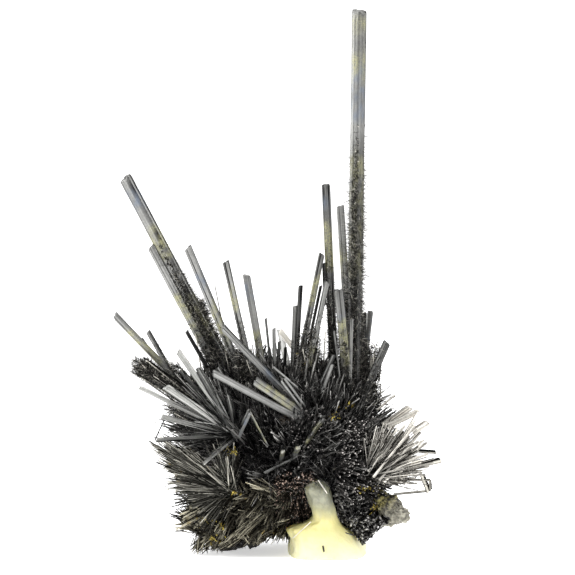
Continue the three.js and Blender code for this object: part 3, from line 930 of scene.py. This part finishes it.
LEFT_BLADES = [
    ((-61.4, -4, 71.9), (-57.4, -4, 65.9), 0.7, 0.1), ((-42.4, -26, 62.6), (-29.8, -22, 40.1), 1.2, 0.35),
    ((-48.2, -20, 62.1), (-40.3, -18, 52.6), 0.7, 0.15), ((-46.4, -10, 74.6), (-39.6, -8, 62.4), 1.2, 0.15),
    ((-36.0, -22, 63.3), (-32.4, -20, 57.4), 1.2, 0.4), ((-17.7, -22, 63.6), (-4.7, -18, 52.1), 0.9, 0.5),
    ((-14.1, -26, 60.3), (-6.7, -22, 49.9), 0.8, 0.6), ((-15.1, -26, 59.4), (-8.0, -22, 49.6), 0.8, 0.6),
    ((-32.6, -30, 54.0), (-29.7, -22, 40.9), 0.6, 0.4),
    ((-25.1, -34, 49.6), (-29.0, -24, 40.6), 1.1, 0.7, 20, [("blue", 0, 12)]),
    ((-25.1, -34, 50.0), (-19.3, -28, 38.3), 0.6, 0.6, 20, [("olive", 0, 12)]),
    ((-52.8, -24.6, 47.4), (-56.2, -25.6, 40.0), 0.45, 0.3),
]
FENCE_BLADES = [
    ((34.2, -16, 25.9), (24.0, -16, 25.9), 0.8, 0.3), ((30.6, -16, 28.5), (33.3, -16, 21.6), 1.0, 0.3),
    ((34.2, -16, 22.6), (33.9, -16, 25.9), 0.9, 0.25), ((31.8, -15.4, 27.6), (34.0, -15.4, 22.2), 0.8, 0.2),
    ((22.0, -14, 20.9), (32.9, -16, 22.2), 0.8, 0.3), ((36.0, -14, 34.9), (25.7, -14, 35.6), 1.2, 0.12),
    ((37.6, -14, 32.3), (29.4, -14, 30.3), 1.8, 0.3),
]
PALE_SMALL_BLADES = [
    ((22.5, -12, 53.6), (16.5, -12, 48.6), 0.7, 0.4), ((27.4, -14, 49.8), (18.5, -14, 43.5), 2.2, 0.75),
    ((30.1, -18, 48.8), (19.3, -18, 43.6), 1.8, 0.8), ((30.1, -20, 49.0), (24.5, -20, 39.5), 1.2, 0.8),
    ((33.1, -18, 45.2), (27.9, -18, 41.9), 2.0, 0.8), ((28.7, -22, 44.6), (15.0, -22, 27.5), 1.0, 0.9),
    ((30.6, -22, 42.3), (16.9, -22, 26.5), 0.9, 0.7), ((25.5, -20, 44.4), (13.4, -20, 29.0), 0.9, 0.8),
    ((32.0, -20, 39.5), (18.6, -20, 25.7), 1.0, 0.9), ((23.3, -18, 45.9), (12.8, -18, 31.4), 0.9, 0.6),
    ((-15.6, 22, 72.7), (-1.4, 18, 55.0), 1.8, 1.0),
]


def small_blades(name, rows, seed, material, slot):
    """All the small blades of those rows as one object."""
    prism_piece(name, [small(*row) for row in rows], seed, material, slot)


small_blades("small_blades", UPRIGHT_BLADES + LEFT_BLADES, 51, prism_finish, "stibnite")
small_blades("fence_blades", FENCE_BLADES, 52, hair_finish, "matted_stibnite")
small_blades("pale_small_blades", PALE_SMALL_BLADES, 53, pale_finish, "pale_stibnite")

# %% [markdown]
# ## Needles of the body
# The body bristles with needles that grew away from its lower middle, so they stand upright on top, lie
# level at the sides and point at the viewer in front. Coarse ones form tufts, fine ones cross them.

# %% Places on the surface
LOW_POINT = np.array([-10, 4, 8]) * MM


# so many random places cover the whole body closely, down to this height of their directions
MANY = 60000
FOOT = -0.95


def spread_places(count, lowest, chance):
    """Random directions that reach down to the given height, and the places where they meet the surface."""
    out = any_ways(count * 3, chance)
    out = out[out[:, 2] > lowest][:count]
    return out, MASS_CENTRE + out * reach_of(out)[:, None]


def front_places(x_range, z_range, count, chance):
    """Places on the front of the body inside a window given in mm, and their directions."""
    out, place = spread_places(MANY, FOOT, chance)
    x, y, z = place.T / MM
    inside = (y < 0) & (x > x_range[0]) & (x < x_range[1]) & (z > z_range[0]) & (z < z_range[1])
    return out[inside][:count], place[inside][:count]


FRONT_SAMPLES = spread_places(MANY, FOOT, np.random.default_rng(5))[1]
FRONT_SAMPLES = FRONT_SAMPLES[FRONT_SAMPLES[:, 1] < 0]


def front_depth(x, z):
    """The y of the body's surface in front at each x and z, all in mm: that of the nearest of many places."""
    where = np.stack([x, z], -1)[:, None, :] * MM
    nearest = ((FRONT_SAMPLES[None, :, ::2] - where) ** 2).sum(-1).argmin(1)
    return FRONT_SAMPLES[nearest, 1] / MM


# %% Small blades that lie in front, with their x and z measured on the photograph
def leaning_on_front(tip, foot, out, width, tone, tarnish=()):
    """Row of a small blade whose foot is 2 mm under the body's surface and whose tip is out mm in front of
    it. Both places are x and z in mm."""
    tip_depth, foot_depth = front_depth(*np.array([tip, foot], float).T)
    head = (tip[0], tip_depth - out, tip[1])
    return head, (foot[0], foot_depth + 2, foot[1]), width, tone, 20, tarnish


FRONT_BLADES = [
    ((-20.6, 29.5), (1.0, 39.6), 5, 0.8, 0.5), ((1.9, 46.5), (-1.0, 48.2), 5, 1.0, 0.95),
    ((-2.3, 48.0), (-0.3, 47.2), 5, 1.0, 1.0), ((-1.5, 47.2), (-9.6, 35.5), 5, 1.6, 0.5, [("olive", 2, 11)]),
    ((4.0, 53.5), (-0.5, 48.0), 6, 1.5, 0.5),
    ((-14.5, 36.9), (-15.1, 33.0), 6, 1.4, 0.7, [("olive", 0, 5)]),
    ((-9.6, 38.2), (-10.9, 34.6), 6, 1.6, 0.7, [("olive", 0, 5)]),
]
front_rows = [leaning_on_front(*row) for row in FRONT_BLADES]
small_blades("front_small_blades", front_rows, 54, prism_finish, "stibnite")

# %% Coarse tufts, on the coarse needles of the solid
FUSED_COUNT = 64


def fused_needles():
    """Root, direction, length and width of the coarse needles of the solid: directions follow a spiral over
    the ball, each turned a little by the repeatable numbers."""
    draw = lcg(17)
    rows = []
    for i in range(FUSED_COUNT):
        height = 1 - 1.5 * (i + 0.5) / FUSED_COUNT
        angle = i * math.pi * (3 - math.sqrt(5))
        ring = math.sqrt(1 - height * height)
        out = np.array([ring * math.cos(angle), ring * math.sin(angle), height])
        ball = 1 / np.linalg.norm(out / MASS_HALF)
        foot = MASS_CENTRE + out * 0.6 * ball
        bend = np.array([0.7 * next(draw) - 0.35, 0.7 * next(draw) - 0.35, 0.15 + 0.5 * next(draw)])
        length = 0.4 * ball + (7 + 9 * next(draw)) * MM
        rows.append((foot, unit(out + bend), length, (2.8 + 1.4 * next(draw)) * MM))
    return rows


# the prisms that lie across the body in front, and that its needles don't cover
CROSSING = PRISMS["slanting_crystal"] + PRISMS["front_slanting_crystals"]

chance = np.random.default_rng(7)
tufts = Needles(CROSSING)
for foot, aim, length, width in fused_needles():
    # those that lean right end short
    if aim[0] > 0.4:
        length = length * 0.8
    # number, width and sides of the thick needles and of the thin ones between them
    for count, wide, sides in ((9, 0.9 * MM, 6), (34, 0.35 * MM, 4)):
        starts = foot + chance.normal(size=(count, 3)) * width * 0.3
        ends = foot + aim * length + chance.normal(size=(count, 3)) * width * 0.3
        ends = starts + (ends - starts) * chance.uniform(0.55, 1.0, count)[:, None]
        widths = wide * chance.uniform(0.6, 1.3, count)
        tufts.add(starts, ends, widths, painted_glint_tones(count, chance, 0.15, 0.35), sides, 0.6)
tufts.build("coarse_tufts", dark_finish, "matted_stibnite")

# %% Straight needles all over the body
def combed(place, noise, chance):
    """Directions away from the low point with their front-back part cut to a third, bent the same way for
    neighbours by three smooth waves, plus noise."""
    away = unit((place - LOW_POINT) * [1.0, 0.35, 1.0])
    waves = np.stack([wobble(place, 15 * MM, seed) for seed in (21, 22, 23)], -1)
    return unit(away + 0.38 * waves + chance.normal(size=place.shape) * noise)


# needles there are dark: the shadow behind the star
DARK_HOLLOW = np.array([-21, -25, 34]) * MM
# number, width in mm, range of lengths in mm, unevenness, sides and share painted bright as glints
STRAIGHT_KINDS = [
    (900, 0.85, (6, 14), 0.22, 5, 0.10),
    (6500, 0.42, (6, 15), 0.34, 4, 0.12),
    (8500, 0.24, (6, 15), 0.70, 3, 0.22),
]
straight = Needles(CROSSING)
for count, wide, reach, noise, sides, share in STRAIGHT_KINDS:
    out, place = spread_places(count, -0.9, chance)
    roots = place - out * lengths_of(1.5, 6.5, len(out), chance)
    x, y, z = place.T / MM
    # they are shorter low down, on top of the body and at its upper right
    short = 0.2 + 0.35 * smoothstep(z, 6, 14) + 0.45 * smoothstep(z, 15, 35) - 0.5 * smoothstep(z, 48, 58)
    short = short - 0.4 * smoothstep(x, 8, 15) * smoothstep(z, 36, 46) * (z < 60)
    reaches = chance.uniform(*reach, len(out)) * np.maximum(short, 0.2) * MM
    ends = roots + combed(place, noise, chance) * reaches[:, None]
    widths = wide * MM * chance.uniform(0.5, 1.4, len(out))
    hollow = smoothstep(np.linalg.norm(place - DARK_HOLLOW, axis=1), 7 * MM, 12 * MM)
    tones = painted_glint_tones(len(out), chance, share, 0.3) * patch_of(place, 7 * MM, 25) * (0.1 + 0.9 * hollow)
    straight.add(roots, ends, widths, np.minimum(tones, 1), sides, 0.6)
straight.build("straight_needles", dark_finish, "matted_stibnite")

# %% Fine hairs that cross them
HAIRS = 18000
hairs = Needles(CROSSING)
out, place = spread_places(HAIRS, -0.9, chance)
aim = unit(out * 0.5 + chance.normal(size=out.shape))
roots = place - out * lengths_of(0, 3, len(out), chance)
ends = roots + aim * lengths_of(2.5, 8, len(out), chance)
hairs.add(roots, ends, chance.uniform(0.1, 0.22, len(out)) * MM, painted_glint_tones(len(out), chance, 0.18, 0.4), 0)
hairs.build("body_hairs", dark_finish, "matted_stibnite")

# %% Thickets round the feet of the prisms
# foot and head in mm, radius in mm at each, straight needles, short hairs in all directions
THICKETS = [
    ((-35, -2, 50), (-42, -1, 84), 5.5, 1.6, 50, 3600), ((6, 4, 50), (7, 2, 84), 5.0, 2.0, 70, 2600),
    ((14, 2, 48), (15, 2, 68), 5.0, 3.0, 50, 2200), ((-4, -2, 52), (-4, -2, 74), 4.5, 1.5, 50, 1800),
    ((-38, -12, 42), (-52, -13, 50), 4.0, 2.5, 30, 1700),
    ((-26, -12, 52), (-28, -12, 70), 4.0, 1.8, 30, 1400),
    ((-40, -4, 50), (-52, -4, 62), 4.5, 2.0, 40, 1600),
]
thickets = Needles(CROSSING)
for foot, head, wide, narrow, straights, count in THICKETS:
    foot = np.array(foot) * MM
    way = np.array(head) * MM - foot
    rise = chance.uniform(0, 1, straights)[:, None] ** 1.4
    starts = foot + chance.normal(size=(straights, 3)) * wide * 0.4 * MM + way * rise * 0.5
    ends = starts + (way + chance.normal(size=(straights, 3)) * 0.1 * np.linalg.norm(way)) * 0.5 * rise
    thickets.add(starts, ends, chance.uniform(0.2, 0.7, straights) * MM, tones_of(straights, chance), 4, 0.6)
    rise = chance.uniform(0, 1, count)[:, None] ** 1.3
    spot = any_ways(count, chance) * chance.uniform(0, 1, (count, 1)) ** 0.5
    roots = foot + way * rise + spot * (wide + (narrow - wide) * rise) * MM
    ends = roots + unit(chance.normal(size=(count, 3)) + spot) * lengths_of(1.2, 3.4, count, chance)
    thickets.add(roots, ends, chance.uniform(0.14, 0.3, count) * MM, painted_glint_tones(count, chance, 0.15, 0.2), 0)
thickets.build("thickets", hair_finish, "matted_stibnite")

# %% [markdown]
# ## Fields of needle ends
# Right of the putty and left of it the needles point straight at the viewer. Only their flat ends show, as
# light grey or brown-pink grains on black: the ends carry a painted highlight at seven times the tone of
# the sides, which are painted dark as shade.

# %% Needle ends
brown_finish = stibnite_finish("brown_needle_ends", (0.002, 0.002, 0.001), (0.60, 0.45, 0.37), 0.5, 0.0, 0.1)
end_finish = stibnite_finish("grey_needle_ends", (0.002, 0.002, 0.002), (0.85, 0.80, 0.76), 0.45, 0.0)


def end_field(needles, x_range, z_range, count, chance, width, low, high, out_to):
    """Short blunt needles that stand on the front of the body and point at the viewer. Their end faces are
    painted seven times lighter than their sides, as a painted highlight.
    """
    out, place = front_places(x_range, z_range, count, chance)
    aim = unit(out * 0.5 + [0.0, -1.0, 0.1] + chance.normal(size=out.shape) * 0.22)
    ends = place + aim * lengths_of(0.5, out_to, len(out), chance)
    widths = width * MM * chance.uniform(0.6, 1.4, len(out))
    tones = tones_of(len(out), chance, low, high, 1.6)
    # the sides at 0.12 of the tone are painted shade, and the end faces at seven times that carry a painted
    # highlight
    needles.add(place - out * 4 * MM, ends, widths, tones * 0.12, 5, 0.85, 7.0)


grey_ends = Needles()
end_field(grey_ends, (4, 19), (20, 45), 1300, chance, 0.5, 0.0, 1.0, 8.0)
end_field(grey_ends, (-12, 4), (36, 50), 200, chance, 0.5, 0.0, 0.5, 4.0)
grey_ends.build("grey_needle_ends", end_finish, "matted_stibnite")
brown_ends = Needles()
end_field(brown_ends, (-17, -5), (11, 29), 650, chance, 0.5, 0.0, 1.0, 4.0)
brown_ends.build("brown_needle_ends", brown_finish, "matted_stibnite")

# %% [markdown]
# ## Plumes
# The lower left of the body is made of small plumes, like pressed feathers: blades that fan out from a short
# stem, brown to olive, with pale edges.

# %% Plumes
plume_finish = stibnite_finish("brown_plumes", (0.003, 0.002, 0.001), (0.58, 0.54, 0.41), 0.40, 0.5, 0.4)
plumes = Needles()


def plume_field(x_range, z_range, count, chance, length, each, tilt, swing):
    """Plumes at random places on the front of the body. Each aims across the picture within a swing of a
    tilt from level, both in degrees, and a little at the viewer."""
    out, place = front_places(x_range, z_range, count, chance)
    for direction, root, patch in zip(out, place, patch_of(place, 6 * MM, 26)):
        turn = math.radians(tilt + chance.uniform(-swing, swing))
        aim = unit(np.array([math.cos(turn), -0.3, math.sin(turn)]) + direction * 0.3)
        size = chance.uniform(*length) * MM
        gain = 0.04 + 2.0 * patch * chance.uniform() ** 2.2
        stem = root + direction * 0.5 * MM
        tuft(plumes, stem, aim, size, 0.5 * MM, each, chance, 10.0, 1.8 * MM, 1.5, gain)


plume_field((-45, -12), (8, 25), 80, chance, (5, 10), 16, 180, 80)
plume_field((-42, -12), (4, 22), 60, chance, (3, 7), 14, 90, 180)
plume_field((-42, -31), (1, 9), 16, chance, (4, 6), 16, 240, 50)
# the ones that stand out: x and z of root and tip in mm, width in mm, needles
PLUMES = [
    ((-31.5, 18.4), (-43.5, 17.0), 3.0, 90), ((-32.5, 17.0), (-40.5, 13.5), 2.0, 40),
    ((-21.0, 15.0), (-29.0, 9.0), 3.0, 80), ((-34.0, 9.5), (-42.0, 12.0), 2.2, 50),
    ((-27.0, 8.0), (-34.0, 4.0), 2.4, 50), ((-34.5, 9.0), (-37.5, 2.5), 2.0, 50),
    ((-16.0, 8.5), (-24.0, 5.5), 2.0, 40), ((-17.5, 11.5), (-13.5, 13.5), 2.0, 24),
]
for root, tip, wide, count in PLUMES:
    depth = front_depth(*np.array([root, tip], float).T)
    start = np.array([root[0], depth[0] - 2.5, root[1]]) * MM
    way = np.array([tip[0], depth[1] - 6.5, tip[1]]) * MM - start
    reach = 1.15 * np.linalg.norm(way)
    tuft(plumes, start, unit(way), reach, 0.45 * MM, count, chance, 6.0, wide * 0.4 * MM, 2.0, 1.5)
plumes.build("plumes", plume_finish, "matted_stibnite")

# %% Black grains at the lower right
black_grains = Needles()
out, place = front_places((2, 25), (2, 25), 2600, chance)
middle = place + out * lengths_of(-1, 2, len(out), chance)
# the same grains hang down in a small cone: its point, the way up to the middle of its top and the half
# sizes of that top, all in mm
CONE_GRAINS = 700
CONE_POINT = np.array([11.8, -15.0, 4.8])
CONE_RISE = np.array([1.5, 0.6, 8.5])
CONE_TOP = np.array([8.0, 4.0, 0.8])
share = chance.uniform(0, 1, (CONE_GRAINS, 1)) ** 0.6
hanging = CONE_POINT + any_ways(CONE_GRAINS, chance) * CONE_TOP * share + CONE_RISE * share
middle = np.concatenate([middle, hanging * MM])
count = len(middle)
half = any_ways(count, chance) * lengths_of(0.3, 1.1, count, chance)
widths = chance.uniform(0.2, 0.9, count) * MM
black_grains.add(middle - half, middle + half, widths, painted_glint_tones(count, chance, 0.14, 0.5), 5, 0.8)
black_grains.build("black_grains", dark_finish, "matted_stibnite")

# %% [markdown]
# ## Black coat on the prisms
# Low down, the prisms wear a crust of short black needles that lie criss-cross on their faces, with a few
# that stand out. The crust starts at some distance from the tip, thin at first, and is dense where the prism
# enters the body.

# %% Coat of each prism
# hairs for each one in the table of coats
COAT_FACTOR = 1.15
# share of the hairs that are long ones, and how much longer
LONG_SHARE = 0.015
LONG_FACTOR = 3.0

coat = Needles()
for node, member, start, density in COATS:
    spec = PRISMS[node][member]
    across, through, along = spec["axes"]
    covered = spec["length"] - start
    count = int(covered * density * COAT_FACTOR)
    down = start + covered * chance.uniform(0, 1, count) ** 0.8
    deep = np.clip((down - start) / FULL_COAT, 0.05, 1)
    turn = chance.uniform(0, 2 * math.pi, count)
    out = np.cos(turn)[:, None] * across + np.sin(turn)[:, None] * through
    roots = spec["head"] - along * down[:, None] * MM + out * spec["width"] * 0.42 * MM
    # patchy where the coat starts, closed lower down
    kept = wobble(roots, 1.8 * MM, 77) * 0.6 + chance.normal(size=count) * 0.5 < deep * 2.2 - 0.95
    count = int(kept.sum())
    deep, out, roots = deep[kept], out[kept], roots[kept]
    side = np.cross(along, out)
    stand = chance.uniform(0, 1, count) < 0.10 + 0.25 * deep
    flat = along * chance.normal(size=(count, 1)) + side * chance.normal(size=(count, 1)) * 0.8
    ways = unit(np.where(stand[:, None], out + flat * 0.6, flat + out * 0.2))
    tall = 0.7 + (1.2 + 2.6 * deep) * chance.uniform(0, 1, count) ** 1.5
    lengths = np.where(stand, tall, chance.uniform(0.7, 2.0, count)) * MM
    lengths = lengths * np.where(chance.uniform(0, 1, count) < LONG_SHARE, LONG_FACTOR, 1.0)
    widths = np.where(stand, 0.2, 0.24) * chance.uniform(0.6, 1.4, count) * MM
    coat.add(roots, roots + ways * lengths[:, None], widths, painted_glint_tones(count, chance, 0.14, 0.2), 0)
coat.build("prism_coat", hair_finish, "matted_stibnite")

# %% [markdown]
# ## The fuzzy bundle at the left
# Parallel dark needles grown into one thick rod, with a felt of fine hairs round it.

# %% Bundle
# lean, toward, length in mm and width in mm of each rod in the bundle
BUNDLE_RODS = [(-54.5, 4, 27, 4.6), (-50, 4, 25, 3.4), (-59, 4, 26, 3.2), (-54.5, 12, 24, 3.0)]
bundle = Needles()
for lean, toward, length, width in BUNDLE_RODS:
    along = axes_of(lean, toward)[2]
    count = 80
    starts = LEFT_BUNDLE + chance.normal(size=(count, 3)) * width * 0.22 * MM
    ends = starts + along * length * lengths_of(0.7, 1.0, count, chance)
    bundle.add(starts, ends, chance.uniform(0.3, 0.8, count) * MM, painted_glint_tones(count, chance, 0.12, 0.2), 5, 0.6)
    count = 2600
    out = any_ways(count, chance)
    roots = LEFT_BUNDLE + out * width * 0.38 * MM + along * length * lengths_of(0.1, 1.0, count, chance)
    ways = unit(out + along * 0.5 + chance.normal(size=(count, 3)) * 0.7)
    ends = roots + ways * lengths_of(0.6, 2.2, count, chance)
    bundle.add(roots, ends, chance.uniform(0.14, 0.3, count) * MM, painted_glint_tones(count, chance, 0.12, 0.2), 0)
bundle_piece = bundle.build("left_bundle_needles", hair_finish, "matted_stibnite")
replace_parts(bundle_piece, "left_bundle")

# %% [markdown]
# ## Ochre grains
# Where stibnite has weathered it leaves yellow and orange grains, in small nests.

# %% Grains
ochre_finish = stibnite_finish("ochre_grains", (0.06, 0.04, 0.010), (0.66, 0.53, 0.13), 0.6, 0.0)
# x and z of the centre in mm, radius of the nest in mm, number of grains
NESTS = [
    (7.3, 50.6, 1.7, 26), (2.4, 47.4, 1.7, 22), (15.2, 23.8, 2.2, 60), (11.2, 23.2, 1.6, 20),
    (16.6, 16.2, 2.4, 40), (-31.2, 36.2, 1.8, 26), (-39.6, 12.8, 3.0, 60), (-36.6, 5.8, 2.6, 44),
    (-35, 10.6, 2.2, 20), (-30.5, 22.5, 1.6, 16), (-8.6, 66.4, 1.4, 14), (-6.8, 62.8, 1.4, 14),
]
grains = Needles()
for x, z, radius, count in NESTS:
    spot = chance.normal(size=(count, 2)) * radius * [0.6, 0.4] + [x, z]
    depth = front_depth(*spot.T) - chance.uniform(1.5, 5.5, count)
    middle = np.stack([spot[:, 0], depth, spot[:, 1]], -1) * MM
    half = any_ways(count, chance) * lengths_of(0.1, 0.6, count, chance)
    widths = chance.uniform(0.15, 0.7, count) * MM
    grains.add(middle - half, middle + half, widths, chance.uniform(0.0, 1.0, count), 5, 0.7, 1.0)
grains.build("ochre_grains", ochre_finish, "ochre_stibnite")

# %% [markdown]
# ## Mounting putty
# A soft cream-yellow lump, pressed flat where it stands, that rises in a narrow neck in front of the body. At
# the left a fold of it sticks out. It is one closed grid of rings, whose left and right edges follow those of
# the photograph. A little light goes through it.

# %% Putty
# height, left edge and right edge in mm, measured on the photograph
PUTTY_EDGES = np.array([
    (0.0, -12.9, 13.2), (1.3, -12.7, 13.2), (4.9, -12.4, 11.1), (7.2, -12.8, 9.1), (9.3, -14.3, 7.2),
    (10.4, -12.6, 5.4), (11.8, -6.3, 3.9), (13.5, -4.7, 3.2), (15.4, -5.0, 2.9), (19.4, -6.6, 1.9),
    (23.4, -7.6, 0.9), (25.0, -7.0, -0.2), (26.0, -5.4, -1.6),
])
# half depth at the foot and in the neck, and y of the neck's middle, in mm
PUTTY_FOOT = 21
PUTTY_NECK = 5.5
NECK_PLACE = -15


def soft_line(height, column):
    """An edge of the putty at each height: the mean of five readings of the measured line, 0.4 mm apart."""
    shifts = np.linspace(-0.8, 0.8, 5)
    return sum(np.interp(height + shift, PUTTY_EDGES[:, 0], PUTTY_EDGES[:, column]) for shift in shifts) / 5


def putty_grid(rings, corners):
    """Rings from the flat foot to the rounded top of the neck. Each is a superellipse, nearly a rectangle at
    the foot and an ellipse in the neck, between the two measured edges, with a few soft bulges. From front
    to back it goes from foot to neck by a smooth step in height."""
    top_height = PUTTY_EDGES[-1, 0]
    height = np.linspace(0, top_height, rings)[:, None]
    angle = angles(corners)[None, :]
    left = soft_line(height, 1)
    right = soft_line(height, 2)
    shrink = smoothstep(height, 1.3, 15.6)
    power = 2 / (3.4 - 1.4 * shrink)
    bulge = 1 + 0.02 * np.sin(3 * angle + 0.15 * height) + 0.015 * np.sin(5 * angle - 0.27 * height)
    cap = np.sqrt(1 - smoothstep(height, 22.0, 26.0) ** 2 * 0.6)
    deep = (PUTTY_FOOT + (PUTTY_NECK - PUTTY_FOOT) * shrink) * bulge * cap
    round_x = np.sign(np.cos(angle)) * np.abs(np.cos(angle)) ** power
    round_y = np.sign(np.sin(angle)) * np.abs(np.sin(angle)) ** power
    x = (left + right) / 2 + (right - left) / 2 * round_x * bulge
    y = NECK_PLACE * shrink + deep * round_y
    z = height * np.ones_like(angle)
    ends = [[0, 0, 0], [PUTTY_EDGES[-1, 1:].mean(), NECK_PLACE, top_height]]
    points = np.concatenate([np.stack([x, y, z], -1).reshape(-1, 3), ends])
    return points * MM, closed_faces(rings, corners)


def putty_finish():
    """Cream yellow, paler at the foot as painted light, greyer in the neck, with a soft sheen and a little
    light inside.
    """
    finish = Finish("mounting_putty")
    where = finish.place()
    height = finish.node("ShaderNodeSeparateXYZ", {}, {0: where}, out=2)
    cloud = finish.noise(where, 90.0, 3.0)
    uneven = height + (cloud - 0.5) * 0.006
    # the pale colour low down is painted light, and above it the putty's own yellow shows
    colour = finish.mix(uneven.above(0.000, 0.010), (0.78, 0.76, 0.50), (0.62, 0.57, 0.25))
    colour = finish.mix(uneven.above(0.0125, 0.007), colour, (0.33, 0.33, 0.24))
    mottle = finish.noise(where, 330.0, 4.0, 0.6).above(0.42, 0.25) * uneven.above(0.013, 0.008)
    colour = finish.mix(mottle * 0.7, colour, (0.13, 0.135, 0.11))
    fine = finish.noise(where, 700.0, 4.0)
    return finish.shade(
        {"Base Color": colour, "Roughness": 0.45, "Metallic": 0.0, "Subsurface Weight": 0.5,
         "Subsurface Radius": (1.0, 0.9, 0.5), "Subsurface Scale": 0.004},
        fine, 0.0003,
    )


putty_points, putty_faces = putty_grid(rings=90, corners=120)
# soft waves in its sides: size in mm, depth in mm and seed
for size, depth, seed in ((5, 0.25, 61), (2, 0.1, 62)):
    waves = wobble(putty_points, size * MM, seed)[:, None]
    putty_points = putty_points + waves * [depth * MM, depth * MM, 0.0]
putty_piece = add_mesh("putty_lump", putty_points, putty_faces, putty_finish(), "putty")
for polygon in putty_piece.data.polygons:
    polygon.use_smooth = True
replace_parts(putty_piece, "mounting_putty")


# %% Needles caught in the putty
CAUGHT_DARK = [
    ((-1.0, -21.6, 2.8), (-1.4, -21.2, 4.8), 0.5, 0.02), ((6, -20.5, 9), (8.5, -19, 8), 0.4, 0.02),
]
CAUGHT_LIGHT = [
    ((-3.0, -21.4, 26.5), (0.0, -21.2, 22.0), 0.35, 0.9),
    ((-5.3, -20.8, 12.7), (-11.3, -19.5, 7.0), 0.3, 1.0),
]
small_blades("caught_dark_needles", CAUGHT_DARK, 71, hair_finish, "matted_stibnite")
small_blades("caught_light_needles", CAUGHT_LIGHT, 72, pale_finish, "pale_stibnite")

# %% [markdown]
# ## Pale lump
# A small ragged piece at the lower right, half sunk in the needles: dark olive and granular where it joins
# the body, and grey, cloudy and a little translucent at its free end.

# %% Pale lump
LUMP_CENTRE = np.array([21.0, -11.0, 15.4]) * MM
LUMP_HALF = np.array([5.4, 4.6, 5.0]) * MM
CHIPS = 22
# direction, height and narrowness of its two horns, and height, size and seed of its waves
HORNS = [((1.0, -0.2, -0.42), 0.42, 14), ((-0.7, 0.0, 0.75), 0.30, 9)]
LUMP_WAVES = [(0.06, 0.5, 6), (0.06, 0.22, 7), (0.035, 0.1, 8)]


def lump_finish():
    """Grey and cloudy, turning olive with black grains towards the body, a little light inside."""
    finish = Finish("pale_lump")
    where = finish.place()
    side = finish.node("ShaderNodeSeparateXYZ", {}, {0: where}, out=0)
    height = finish.node("ShaderNodeSeparateXYZ", {}, {0: where}, out=2)
    cloud = finish.noise(where, 420.0, 5.0, 0.75)
    soft = finish.noise(where, 190.0, 3.0)
    free = (side - height * 0.7 + (soft - 0.5) * 0.012).above(0.007, 0.005)
    olive = finish.mix(cloud.above(0.44, 0.12), (0.010, 0.009, 0.005), (0.27, 0.24, 0.09))
    grey = finish.mix(cloud.above(0.36, 0.22), (0.05, 0.045, 0.03), (0.46, 0.44, 0.36))
    colour = finish.mix(free, olive, grey)
    return finish.shade(
        {"Base Color": colour, "Roughness": 0.4, "Subsurface Weight": 0.25, "Subsurface Scale": 0.0015,
         "Subsurface Radius": (1.0, 1.0, 0.9)},
        cloud, 0.0016,
    )


def ragged_block(rings, corners):
    """A chipped block: the distance from its middle is the least of a plane's distance divided by the cosine
    of the angle to that plane, over some twenty random planes, with a horn low at the right, another high at
    the left, and fine waves."""
    out, faces = ball_grid(rings, corners)
    planes = np.random.default_rng(12)
    facing = np.maximum(out @ any_ways(CHIPS, planes).T, 0.05)
    reach = np.minimum((planes.uniform(0.72, 1.02, CHIPS) / facing).min(1), 1.2)
    for toward, height, narrow in HORNS:
        reach = reach + height * np.exp(narrow * (out @ unit(np.array(toward)) - 1))
    rough = 1 + sum(height * wobble(out, size, seed) for height, size, seed in LUMP_WAVES)
    return LUMP_CENTRE + out * (reach * rough)[:, None] * LUMP_HALF, faces


lump_points, lump_faces = ragged_block(rings=90, corners=130)
lump_piece = add_mesh("pale_lump_block", lump_points, lump_faces, lump_finish(), "pale_mineral")
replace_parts(lump_piece, "pale_lump")
